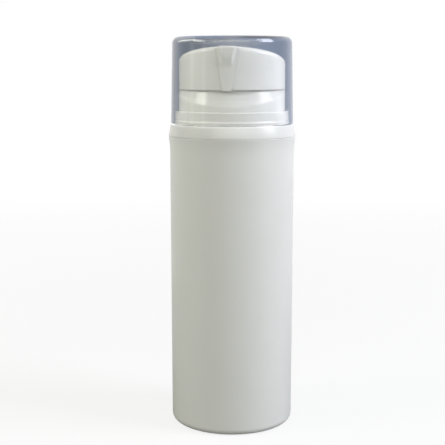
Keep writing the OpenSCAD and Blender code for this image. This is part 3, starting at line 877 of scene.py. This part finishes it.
        # inside, which follows the outside at the wall's thickness and ends under the pad
        for r, z, a in rows[self.pad_rows + 2 : -2][::-1]:
            r = r - self.wall
            ceiling = on_pad(r * np.cos(a), self.pad_z) - self.dish - self.wall
            rows.append((r, np.minimum(z, ceiling), a))
        r, _, a = rows[-1]
        for t in (0.5, 0.0):
            rows.append((r * t, on_pad(r * t * np.cos(a), self.pad_z) - self.dish - self.wall, a))
        r, z, a = (np.stack(part) for part in zip(*rows))
        points = np.stack([r * np.sin(a), -r * np.cos(a), z], -1).reshape(-1, 3)
        return points, grid_faces(len(rows), count, False, True)


def star(outline: np.ndarray, centre: np.ndarray, phi: np.ndarray) -> np.ndarray:
    """Distance from a centre to an outline round it, at each angle.

    Args:
        outline: array of shape (n, 2) of closely spaced points round the centre.
        centre: the centre.
        phi: angles in radians.

    Returns:
        The distance at each angle, read off between the outline's points.
    """
    rel = outline - centre
    at = np.arctan2(rel[:, 1], rel[:, 0])
    order = np.argsort(at)
    return np.interp(phi, at[order], np.hypot(rel[:, 0], rel[:, 1])[order], period=2 * math.pi)


def soft(t: np.ndarray) -> np.ndarray:
    """Smooth step from 0 at 0 to 1 at 1: three squares less two cubes."""
    t = np.clip(t, 0, 1)
    return t * t * (3 - 2 * t)


@dataclass
class NozzleTip(Piece):
    """The nozzle tip: a tongue in the head's wall, with the spout's block and orifice at its top.

    Attributes:
        head_r: radius of the head's wall.
        pad_z: height of the pad's plane at the axis.
        sunk: how far the tip's top lies under the pad's plane.
        round_r: radius of the round between the tip's front and its top.
        proud: how far the tongue stands out of the wall.
        plate: thickness of the tip's plate.
        face: distance of the block's flat face in front of the axis.
        crown_out: how far past the face the round reaches over the block, where the face cuts it.
        crown_z: height at which the block's width is read for that round.
        tongue_half: half width of the tongue at its foot.
        tongue_foot: height of the tongue's foot.
        tongue_spread: half width gained per millimetre upwards.
        tongue_corner: radius of the tongue's lower corners.
        bevel: loops of the tongue's edge, each with its distance inwards and its depth.
        block_half, block_foot, block_spread, block_corner: the same sizes of the block.
        block_in: how far inside the block's outline its even part ends, at the sides and the foot.
        side_soft: width over which the block rises at its sides.
        foot_soft: height over which it rises at its foot.
        foot_run: how much of that lies below the block's foot.
        cut_z: a height above every point of the tip.
        orifice_z: height of the orifice.
        orifice_r: radius of the orifice.
        orifice_deep: depth of the orifice.
        orifice_edge: width of the orifice's edge.
        plug: outline of the plug behind the plate, as distances in front of the axis and radii.
        count: number of points in each loop.
        room: least width of the block's even part round the orifice.
        even_loops: number of loops on that part.
        fall_loops: number of loops over which the block falls off.
        tongue_loops: places of the loops from there to the tongue's edge, as shares of the way.
        side_steps: number of points between two points of an outline.
    """

    head_r: float = 20.75
    pad_z: float = 144.8
    sunk: float = 0.1
    round_r: float = 2.2
    proud: float = 0.12
    plate: float = 1.3
    face: float = 21.6
    crown_out: float = 0.4
    crown_z: float = 149.0
    tongue_half: float = 1.9
    tongue_foot: float = 133.0
    tongue_spread: float = 0.1574
    tongue_corner: float = 0.8
    bevel: tuple[tuple[float, float], ...] = ((0.12, 0.0), (0.03, 0.09), (0.0, 0.16))
    block_half: float = 2.7
    block_foot: float = 143.8
    block_spread: float = 0.2083
    block_corner: float = 1.2
    block_in: tuple[float, float] = (1.1, 0.9)
    side_soft: float = 1.3
    foot_soft: float = 4.0
    foot_run: float = 2.4
    cut_z: float = 151.0
    orifice_z: float = 146.4
    orifice_r: float = 1.63
    orifice_deep: float = 1.75
    orifice_edge: float = 0.02
    plug: tuple[tuple[float, float], ...] = (
        (16.4, 1.65),
        (16.1, 1.4),
        (16.1, 0.8),
        (19.3, 0.8),
        (19.4, POINT),
    )
    count: int = 240
    room: float = 0.05
    even_loops: int = 3
    fall_loops: int = 14
    tongue_loops: tuple[float, ...] = (0.04, 0.08, 0.12, 0.17, 0.35, 0.6, 0.8, 0.97, 1.0)
    side_steps: int = 80

    def raised(self, x: np.ndarray, z: np.ndarray) -> np.ndarray:
        """Share of the block's height over the tongue at (x, z), which falls off at its sides and foot."""
        half = self.block_half + self.block_spread * (z - self.block_foot)
        sides = soft((half - np.abs(x)) / self.side_soft)
        return sides * soft((z - self.block_foot + self.foot_run) / self.foot_soft)

    def crown(self, x: np.ndarray) -> np.ndarray:
        """Distance in front of the axis of the centre of the round that leads from the face to the pad."""
        outer = self.head_r + self.proud
        share = self.raised(x, np.full_like(x, self.crown_z))
        return outer + (self.face + self.crown_out - outer) * share - self.round_r

    def top(self, x: np.ndarray) -> np.ndarray:
        """Highest z at x: the peak of the round over the sloping pad, or its height at the plate's back."""
        c, r, s = self.crown(x), self.round_r, PAD_SLOPE
        base = self.pad_z - self.sunk - r
        back = self.head_r - self.plate
        peak = base + s * c + r * math.sqrt(1 + s * s)
        edge = base + s * back + np.sqrt(np.maximum(r * r - (back - c) ** 2, 0))
        return np.where(c + r * s / math.sqrt(1 + s * s) > back, peak, edge)

    def front(self, x: np.ndarray, z: np.ndarray) -> np.ndarray:
        """Distance of the front surface in front of the axis at (x, z).

        It is the tongue's cylinder, root(outer^2 - x^2), raised to the flat face over the block, and
        cut by the round: with u the distance past the round's centre and k the height over its
        lowest plane, s u + root(r^2 - u^2) = k is solved for the outer u.
        """
        outer = np.sqrt((self.head_r + self.proud) ** 2 - x**2)
        wall = outer + (self.face - outer) * self.raised(x, z)
        c, r, s = self.crown(x), self.round_r, PAD_SLOPE
        k = z - (self.pad_z - self.sunk - r) - s * c
        under = np.maximum(s * s * k * k - (1 + s * s) * (k * k - r * r), 0)
        u = np.where(k < s * r, r, (s * k + np.sqrt(under)) / (1 + s * s))
        return np.minimum(wall, c + u)

    def outline(
        self, half: float, foot: float, spread: float, corner: float, side: float, low: float
    ) -> np.ndarray:
        """Outline that widens upwards and ends at the tip's top.

        Args:
            half: half width at the foot.
            foot: height of the foot.
            spread: half width gained per millimetre.
            corner: radius of the lower corners.
            side: how far the sides are drawn in.
            low: how far the foot is drawn in.

        Returns:
            Array of shape (n, 2) of x and z, closely spaced.
        """
        high = self.cut_z
        h, up = half - side, half - side + spread * (high - foot)
        points = [(up, high, 0), (-up, high, 0), (-h, foot + low, corner), (h, foot + low, corner)]
        p = rounded(points, closed=True, steps=10)
        t = np.linspace(0, 1, self.side_steps, endpoint=False)[None, :, None]
        p = (p[:, None] * (1 - t) + np.roll(p, -1, 0)[:, None] * t).reshape(-1, 2)
        return np.stack([p[:, 0], np.minimum(p[:, 1], self.top(p[:, 0]))], 1)

    def surface(self) -> Surface:
        """Closed loops from the orifice's floor over the face to the tongue's edge, then back behind it.

        Every loop is star-shaped about the orifice: its point at angle phi is the centre plus a
        share of the way to an outline at phi.
        """
        phi = np.arange(self.count) * (2 * math.pi / self.count) - math.pi
        centre = np.array([0.0, self.orifice_z])
        unit = np.stack([np.cos(phi), np.sin(phi)], 1)
        back = self.head_r - self.plate
        loops: list[np.ndarray] = []

        def ring(distance: np.ndarray | float, sink: float = 0.0) -> None:
            """Adds a loop on the front surface, sunk under it."""
            x, z = (centre + unit * (np.zeros(self.count) + distance)[:, None]).T
            z = np.minimum(z, self.top(x))
            loops.append(np.stack([x, -self.front(x, z) + sink, z], 1))

        def block(side: float, low: float) -> np.ndarray:
            """Distance to the block's outline, drawn in at its sides and foot."""
            sizes = (self.block_half, self.block_foot, self.block_spread, self.block_corner)
            return star(self.outline(*sizes, side, low), centre, phi)

        def tongue(inset: float) -> np.ndarray:
            """Distance to the tongue's outline, drawn in all round."""
            sizes = (self.tongue_half, self.tongue_foot, self.tongue_spread, self.tongue_corner)
            return star(self.outline(*sizes, inset, inset), centre, phi)

        side, low = self.block_in
        hole = self.orifice_r + self.orifice_edge
        even = np.maximum(block(side, low), hole + self.room)
        rim = tongue(self.bevel[0][0])
        edge = np.minimum(block(0.0, -low), rim)
        ring(POINT, self.orifice_deep)
        ring(self.orifice_r, self.orifice_deep)
        ring(self.orifice_r, self.orifice_edge)
        for share in np.linspace(0, 1, self.even_loops + 1)[:-1]:
            ring(hole + (even - hole) * share)
        for share in np.linspace(0, 1, self.fall_loops):
            ring(even + (np.maximum(edge, even) - even) * share)
        for share in self.tongue_loops:
            ring(edge + (rim - edge) * share)
        for inset, sink in self.bevel[1:]:
            ring(tongue(inset), sink)
        for share in (1.0, 0.5):
            x, z = (centre + unit * (tongue(self.bevel[1][0]) * share)[:, None]).T
            c, r = self.crown(x), self.round_r
            fall = r - np.sqrt(np.maximum(r * r - np.maximum(back - c, 0) ** 2, 0))
            z = np.minimum(z, self.pad_z - self.sunk + PAD_SLOPE * back - fall)
            loops.append(np.stack([x, -np.sqrt(back**2 - x**2), z], 1))
        plug_z = self.orifice_z - PAD_SLOPE * (self.face - back)
        for y, r in ((back, self.plug[0][1]), *self.plug):
            axis_z = plug_z + PAD_SLOPE * (y - back)
            loops.append(np.stack([unit[:, 0] * r, np.full(self.count, -y), axis_z + unit[:, 1] * r], 1))
        return np.concatenate(loops), grid_faces(len(loops), self.count, False, True)


@dataclass
class ValveDisc(Piece):
    """The outlet valve's face: a shallow button with a soft edge in the orifice.

    Attributes:
        face: distance of the spout's face in front of the axis.
        sunk: how far the button lies under that face.
        radius: radius of the button.
        length: length from the spout's face to the button's back.
        orifice_z: height of the orifice.
    """

    face: float = 21.6
    sunk: float = 0.03
    radius: float = 1.6
    length: float = 1.2
    orifice_z: float = 146.4

    def surface(self) -> Surface:
        """Outline of the button turned about its own axis, then laid along Y at the orifice."""
        r, deep = self.radius, self.length - self.sunk
        outline = rounded([(0, 0, 0), (r, 0, 0.04), (r, deep, 0.1), (0, deep, 0)], steps=5)
        points, faces = revolve(outline, False, count=72)
        y, z = -self.face + self.sunk + points[:, 2], self.orifice_z + points[:, 1]
        return np.stack([points[:, 0], y, z], 1), faces


@dataclass
class PressureSpring(Piece):
    """The return spring: flat end turns and even live turns between them.

    Attributes:
        wire: diameter of the wire.
        mean_r: radius of the coil to the middle of the wire.
        turns: number of turns in all.
        dead: turns at each end that lie flat on themselves.
        stroke: how far the head's full stroke shortens the spring; not used.
        steps: number of points along the wire.
        blend: points to each side over which the height is averaged.
        sides: number of points round the wire.
    """

    wire: float = 0.9
    mean_r: float = 5.0
    turns: float = 6.0
    dead: float = 0.75
    stroke: float = 5.0
    steps: int = 360
    blend: int = 6
    sides: int = 12

    def surface(self) -> Surface:
        """Wire along a helix whose height rises by one wire a turn at the ends and evenly between.

        The height is a running average, so that one rise passes softly into the other.
        """
        _, low, high = size_of(self.node)
        t = np.linspace(0, self.turns, self.steps)
        ends = self.wire * self.dead
        live = high - low - self.wire - 2 * ends
        knots = [0, self.dead, self.turns - self.dead, self.turns]
        rise = np.interp(t, knots, [0, ends, ends + live, 2 * ends + live])
        window = np.full(2 * self.blend + 1, 1 / (2 * self.blend + 1))
        rise = np.convolve(np.pad(rise, self.blend, "edge"), window, "valid")
        a = 2 * math.pi * t
        path = np.stack([self.mean_r * np.cos(a), self.mean_r * np.sin(a), low + self.wire / 2 + rise], 1)
        return sweep(path, self.wire / 2, self.sides)

    def place(self) -> bpy.types.Object:
        """Builds the spring and gives it its own copy of the mesh."""
        obj = super().place()
        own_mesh(obj)
        return obj


@dataclass
class PumpEngine:
    """The inner parts that stay CAD nodes.

    Attributes:
        finishes: the material that each node is made of.
    """

    finishes: dict[str, MouldedPlastic | DrawnSteel] = field(
        default_factory=lambda: {
            "follower_piston": NATURAL_PE,
            "pump_seal": SEAL_RUBBER,
            "pump_housing": NATURAL_PP,
            "inlet_ball": SPRING_STEEL,
            "piston_rod": NATURAL_PP,
            "pump_piston": NATURAL_PE,
            "stem": NATURAL_PP,
            "retaining_ring": NATURAL_PP,
            "actuator_core": NATURAL_PP,
        }
    )

    def dress(self, nodes: dict[str, bpy.types.Object]) -> None:
        """Puts each node's material into its slots.

        Args:
            nodes: the frame's CAD nodes by name.
        """
        made = {finish.name: finish.build() for finish in self.finishes.values()}
        for name, finish in self.finishes.items():
            obj = nodes[name]
            if not obj.material_slots:
                obj.data.materials.append(None)
            for slot in obj.material_slots:
                slot.material = made[finish.name]
            LOG.info("%s: %s", name, finish.name)


# Studio

# What stands behind the overcap in the photograph, from left to right: a pale blue-grey.
BEHIND = ((0.0, (0.18, 0.198, 0.235)), (0.5, (0.31, 0.338, 0.4)), (1.0, (0.252, 0.302, 0.425)))
# How far to each side of the axis that change goes: about the overcap's width as the camera sees it.
BEHIND_REACH = 0.08
# The room's light from left to right: warm and dim, dimmer still, cool and bright.
ROOM = ((0.0, (0.19, 0.19, 0.17)), (0.5, (0.15, 0.15, 0.14)), (1.0, (0.31, 0.32, 0.36)))
WHITE = (1, 1, 1, 1)


def through_cap(tree: Tree) -> Socket:
    """Output that is 1 where the eye's own ray has gone through the clear cap and met no matt surface."""
    path = add(tree, "ShaderNodeLightPath").outputs
    bent = add(tree, "ShaderNodeMath", OVER_HALF, {0: path["Transmission Depth"]}).outputs[0]
    first = add(tree, "ShaderNodeMath", UNDER_HALF, {0: path["Diffuse Depth"]}).outputs[0]
    return add(tree, "ShaderNodeMath", TIMES, {0: bent, 1: first}).outputs[0]


def lights_again(tree: Tree) -> Socket:
    """Output that is 1 for bent rays through the cap from a moulding that is being lit.

    A moulding already gets its light through the cap as shadow rays, so these add nothing.
    """
    path = add(tree, "ShaderNodeLightPath").outputs
    lit = add(tree, "ShaderNodeMath", OVER_HALF, {0: path["Diffuse Depth"]}).outputs[0]
    return add(tree, "ShaderNodeMath", TIMES, {0: path["Is Transmission Ray"], 1: lit}).outputs[0]


def across(tree: Tree, way: Socket, right: np.ndarray, reach: float, stops: Stops) -> Socket:
    """Colour that changes from the left to the right of the bottle.

    Args:
        tree: the tree it goes into.
        way: direction, or place on the floor, as seen from the bottle.
        right: unit vector to the right.
        reach: how far to each side the change goes, as a share of the whole way round to the side.
        stops: places from 0 on the left to 1 on the right, with their linear colours.

    Returns:
        Colour output.
    """
    unit = add(tree, "ShaderNodeVectorMath", {".operation": "NORMALIZE"}, {0: way}).outputs["Vector"]
    side = add(tree, "ShaderNodeVectorMath", {".operation": "DOT_PRODUCT", 1: tuple(right)}, {0: unit})
    ends = {"From Min": -reach, "From Max": reach}
    share = add(tree, "ShaderNodeMapRange", ends, {"Value": side.outputs["Value"]})
    node = add(tree, "ShaderNodeValToRGB", links={"Fac": share.outputs["Result"]})
    ramp = node.color_ramp
    ramp.interpolation = "EASE"
    while len(ramp.elements) < len(stops):
        ramp.elements.new(0.5)
    for element, (at, colour) in zip(ramp.elements, stops):
        element.position = at
        element.color = (*colour, 1)
    return node.outputs["Color"]


@dataclass(frozen=True)
class Softbox:
    """One large lamp that faces the bottle.

    Attributes:
        name: what it is and where it stands.
        azimuth: degrees to the right of the camera, about the bottle's axis.
        elevation: degrees above the middle of the bottle.
        distance: metres from there.
        size: width and height in metres.
        power: watts.
        colour: sRGB code of its light.
    """

    name: str
    azimuth: float
    elevation: float
    distance: float
    size: tuple[float, float]
    power: float
    colour: str


@dataclass
class Studio:
    """Camera, lamps, surroundings and floor.

    Attributes:
        turn: degrees by which the camera stands to the right of the spout.
        lens: focal length in millimetres.
        stand_back: metres from the bottle's axis to the camera.
        height: metres from the floor to the camera.
        yaw: degrees by which the camera looks past the axis.
        pitch: degrees by which it looks down.
        target: point that the lamps face.
        lamps: the lamps.
        strip: brightness of the soft strip that glossy skins show overhead in front.
        floor_rings: radii of the floor's rings in millimetres.
    """

    turn: float = 5.3
    lens: float = 82.65
    stand_back: float = 0.40372
    height: float = 0.14335
    yaw: float = -0.534
    pitch: float = 8.864
    target: tuple[float, float, float] = (0.0, 0.0, 0.09)
    lamps: tuple[Softbox, ...] = (
        Softbox("softbox_right", 74, 33, 0.8, (0.36, 0.5), 4.9, "#F3F6FF"),
        Softbox("softbox_left", -71, 31, 0.9, (0.34, 0.26), 2.1, "#FDFFF4"),
        Softbox("softbox_left_back", -118, 34, 0.9, (0.6, 0.6), 1.1, "#FDFFF4"),
        Softbox("strip_left_low", -82, 3, 0.9, (0.15, 0.5), 0.09, "#FDFFF8"),
        Softbox("strip_left_near", -55, 3, 0.9, (0.12, 0.5), 0.07, "#FDFFF8"),
        Softbox("softbox_front", -1, 22, 1.0, (1.3, 0.3), 2.15, "#FFFFF0"),
    )
    strip: float = 1.4
    floor_rings: tuple[float, ...] = (0.0, 60.0, 400.0, 2500.0, 9000.0)

    def direction(self, azimuth: float, elevation: float) -> np.ndarray:
        """Unit vector towards a place at an azimuth right of the camera and an elevation."""
        a, e = math.radians(azimuth + self.turn), math.radians(elevation)
        return np.array([math.sin(a) * math.cos(e), -math.cos(a) * math.cos(e), math.sin(e)])

    def camera(self) -> None:
        """Camera where the photograph was taken from; it looks down by the pitch and aside by the yaw."""
        data = bpy.data.cameras.new("camera")
        data.lens, data.sensor_width = self.lens, 36.0
        data.clip_start, data.clip_end = 0.01, 50
        obj = bpy.data.objects.new("camera", data)
        bpy.context.scene.collection.objects.link(obj)
        a = math.radians(self.turn)
        obj.location = (self.stand_back * math.sin(a), -self.stand_back * math.cos(a), self.height)
        obj.rotation_euler = (math.radians(90 - self.pitch), 0.0, math.radians(self.turn - self.yaw))
        bpy.context.scene.camera = obj

    def lights(self) -> None:
        """Area lamps that face the middle of the bottle."""
        for box in self.lamps:
            data = bpy.data.lights.new(box.name, "AREA")
            data.shape = "RECTANGLE"
            data.size, data.size_y = box.size
            data.energy = box.power
            data.color = linear(box.colour)[:3]
            obj = bpy.data.objects.new(box.name, data)
            bpy.context.scene.collection.objects.link(obj)
            away = self.direction(box.azimuth, box.elevation)
            obj.location = np.array(self.target) + away * box.distance
            obj.rotation_mode = "QUATERNION"
            obj.rotation_quaternion = Vector(-away).to_track_quat("-Z", "Y")
            LOG.info("%s: %.2f W", box.name, box.power)

    def backwards(self, tree: Tree, way: Socket) -> Socket:
        """How far a direction or place lies towards the back, as its product with that unit vector."""
        settings = {".operation": "DOT_PRODUCT", 1: tuple(-self.direction(0, 0))}
        return add(tree, "ShaderNodeVectorMath", settings, {0: way}).outputs["Value"]

    def shows_backdrop(self, tree: Tree, back: Socket, start: float, whole: float) -> Socket:
        """Share by which a glossy skin shows the white backdrop.

        Args:
            tree: the tree it goes into.
            back: how far its ray lies towards the back.
            start: where the backdrop starts.
            whole: where it is whole.

        Returns:
            Output from 0 to 1, which is 0 for every ray that isn't glossy.
        """
        ends = {"From Min": start, "From Max": whole}
        share = add(tree, "ShaderNodeMapRange", ends, {"Value": back}).outputs["Result"]
        glossy = add(tree, "ShaderNodeLightPath").outputs["Is Glossy Ray"]
        return add(tree, "ShaderNodeMath", TIMES, {0: glossy, 1: share}).outputs[0]

    def strip_light(self, tree: Tree, up: Socket, back: Socket) -> Socket:
        """Brightness of a soft strip overhead in front, which only skins show.

        Its light on matt mouldings comes from the lamps. Each fade changes from one value to the
        other over a stretch of its direction, and their product is the strip.

        Args:
            tree: the tree it goes into.
            up: how far the ray goes up.
            back: how far it goes back.

        Returns:
            Brightness output.
        """
        path = add(tree, "ShaderNodeLightPath").outputs
        gloss = add(tree, "ShaderNodeMath", OVER_HALF, {0: path["Glossy Depth"]}).outputs[0]
        matt = add(tree, "ShaderNodeMath", UNDER_HALF, {0: path["Diffuse Depth"]}).outputs[0]
        light = add(tree, "ShaderNodeMath", TIMES, {0: gloss, 1: matt}).outputs[0]
        fades = (
            (up, 0.3, 0.42, 0.0, self.strip),
            (up, 0.62, 0.8, 1.0, 0.0),
            (back, -0.35, -0.5, 0.0, 1.0),
        )
        for way, start, end, first, last in fades:
            ends = {"From Min": start, "From Max": end, "To Min": first, "To Max": last}
            fade = add(tree, "ShaderNodeMapRange", ends, {"Value": way}).outputs["Result"]
            light = add(tree, "ShaderNodeMath", TIMES, {0: light, 1: fade}).outputs[0]
        return light

    def surroundings(self) -> None:
        """Room that lights the bottle: warm and dim on the left, cool and bright on the right.

        The camera sees plain white instead, and what the clear overcap lets through is the pale
        blue-grey that stands behind the bottle in the photograph.
        """
        world = bpy.data.worlds.new("room")
        bpy.context.scene.world = world
        world.use_nodes = True
        tree = world.node_tree
        tree.nodes.clear()
        way = add(tree, "ShaderNodeTexCoord").outputs["Generated"]
        up = add(tree, "ShaderNodeSeparateXYZ", links={0: way}).outputs["Z"]
        right, back = self.direction(90, 0), self.backwards(tree, way)
        ends = {"From Min": 0.0, "From Max": 1.0, "To Min": 0.8, "To Max": 1.8}
        bright = add(tree, "ShaderNodeMapRange", ends, {"Value": up}).outputs["Result"]
        less = {".operation": "SUBTRACT", 0: 1.0}
        once = add(tree, "ShaderNodeMath", less, {1: lights_again(tree)}).outputs[0]
        strength = add(tree, "ShaderNodeMath", TIMES, {0: bright, 1: once}).outputs[0]
        colour = across(tree, way, right, 1.0, ROOM)
        lit = add(tree, "ShaderNodeBackground", links={"Color": colour, "Strength": strength})
        white = add(tree, "ShaderNodeBackground", {"Color": WHITE})
        colour = across(tree, way, right, BEHIND_REACH, BEHIND)
        behind = add(tree, "ShaderNodeBackground", links={"Color": colour})
        shown = self.shows_backdrop(tree, back, 0.2, 0.7)
        room = add(tree, "ShaderNodeMixShader", links={0: shown, 1: lit.outputs[0], 2: white.outputs[0]})
        ways = {0: through_cap(tree), 1: room.outputs[0], 2: behind.outputs[0]}
        clear = add(tree, "ShaderNodeMixShader", links=ways)
        light = self.strip_light(tree, up, back)
        strip = add(tree, "ShaderNodeBackground", {"Color": WHITE}, {"Strength": light})
        both = add(tree, "ShaderNodeAddShader", links={0: clear.outputs[0], 1: strip.outputs[0]})
        eye = add(tree, "ShaderNodeLightPath").outputs["Is Camera Ray"]
        seen = add(tree, "ShaderNodeMixShader", links={0: eye, 1: both.outputs[0], 2: white.outputs[0]})
        add(tree, "ShaderNodeOutputWorld", links={"Surface": seen.outputs[0]})

    def paper(self, tree: Tree, where: Socket) -> Socket:
        """Shader of the floor as the eye and glossy skins see it.

        It is matt paper under the bottle, and turns into the backdrop's white further out.

        Args:
            tree: the tree it goes into.
            where: place on the floor.

        Returns:
            Shader output.
        """
        fibre = add(tree, "ShaderNodeTexNoise", {"Scale": 1 / (3 * MM), "Detail": 3.0}, {"Vector": where})
        deep = {"Strength": 0.05, "Distance": 0.1 * MM}
        skin = add(tree, "ShaderNodeBump", deep, {"Height": fibre.outputs["Fac"]}).outputs["Normal"]
        matt = {"Base Color": linear("#F4F4F3"), "Roughness": 0.8}
        sheet = add(tree, "ShaderNodeBsdfPrincipled", matt, {"Normal": skin}).outputs[0]
        white = add(tree, "ShaderNodeEmission", {"Color": WHITE, "Strength": 1.0}).outputs[0]
        away = add(tree, "ShaderNodeVectorMath", {".operation": "LENGTH"}, {0: where}).outputs["Value"]
        ends = {"From Min": 0.15, "From Max": 0.7, "To Min": 0.8, "To Max": 1.0}
        share = add(tree, "ShaderNodeMapRange", ends, {"Value": away}).outputs["Result"]
        return add(tree, "ShaderNodeMixShader", links={0: share, 1: sheet, 2: white}).outputs[0]

    def floor(self) -> None:
        """Pale round floor: the camera sees it nearly white, with the bottle's soft shadow on it.

        What it throws back at the bottle is dimmer, and through the cap it shows the blue-grey.
        """
        outline = np.array([[radius, 0.0] for radius in self.floor_rings])
        points, faces = revolve(outline, False, count=96)
        obj = mesh_object("floor", points, faces, Sharpness.SOFT)
        material, tree, where = new_material("paper_white_matt")
        dim = add(tree, "ShaderNodeBsdfDiffuse", {"Color": (0.3, 0.3, 0.29, 1)}).outputs[0]
        colour = across(tree, where, self.direction(90, 0), BEHIND_REACH, BEHIND)
        behind = add(tree, "ShaderNodeEmission", {"Strength": 1.0}, {"Color": colour}).outputs[0]
        shown = self.shows_backdrop(tree, self.backwards(tree, where), 0.0, 0.3)
        camera = add(tree, "ShaderNodeLightPath").outputs["Is Camera Ray"]
        eye = add(tree, "ShaderNodeMath", {".operation": "MAXIMUM"}, {0: camera, 1: shown}).outputs[0]
        ways = {0: eye, 1: dim, 2: self.paper(tree, where)}
        seen = add(tree, "ShaderNodeMixShader", links=ways).outputs[0]
        clear = add(tree, "ShaderNodeMixShader", links={0: through_cap(tree), 1: seen, 2: behind})
        add(tree, "ShaderNodeOutputMaterial", links={"Surface": clear.outputs[0]})
        obj.data.materials.append(material)

    def build(self) -> None:
        """Sets the whole studio up."""
        self.camera()
        self.lights()
        self.surroundings()
        self.floor()
        bpy.context.scene.view_settings.view_transform = "Standard"


def main() -> None:
    """Builds the bottle's pieces over the frame, then the studio."""
    logging.basicConfig(level=logging.INFO, format="%(message)s")
    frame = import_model()
    PumpEngine().dress(frame["nodes"])
    pieces: list[Piece] = [
        BodyShell("body_shell", "bottle", "bottle", "white_pp", BODY_PP),
        CollarRing("collar_ring", "collar", "bottle", "white_pp", COLLAR_PP),
        PressureSpring("pressure_spring", "return_spring", "bottle", "steel", SPRING_STEEL),
        HeadCover("head_cover", "head_shell", "head", "head_pp", HEAD_PP),
        NozzleTip("nozzle_tongue", "nozzle_tip", "head", "head_pp", HEAD_PP),
        ValveDisc("valve_disc", "outlet_valve", "outlet_valve", "valve_silicone", VALVE_SILICONE),
        ClearCap("clear_cap", "overcap", "overcap", "clear_san", CLEAR_SAN, Sharpness.SOFT),
    ]
    for piece in pieces:
        piece.place()
    Studio().build()


if __name__ == "__main__":
    main()
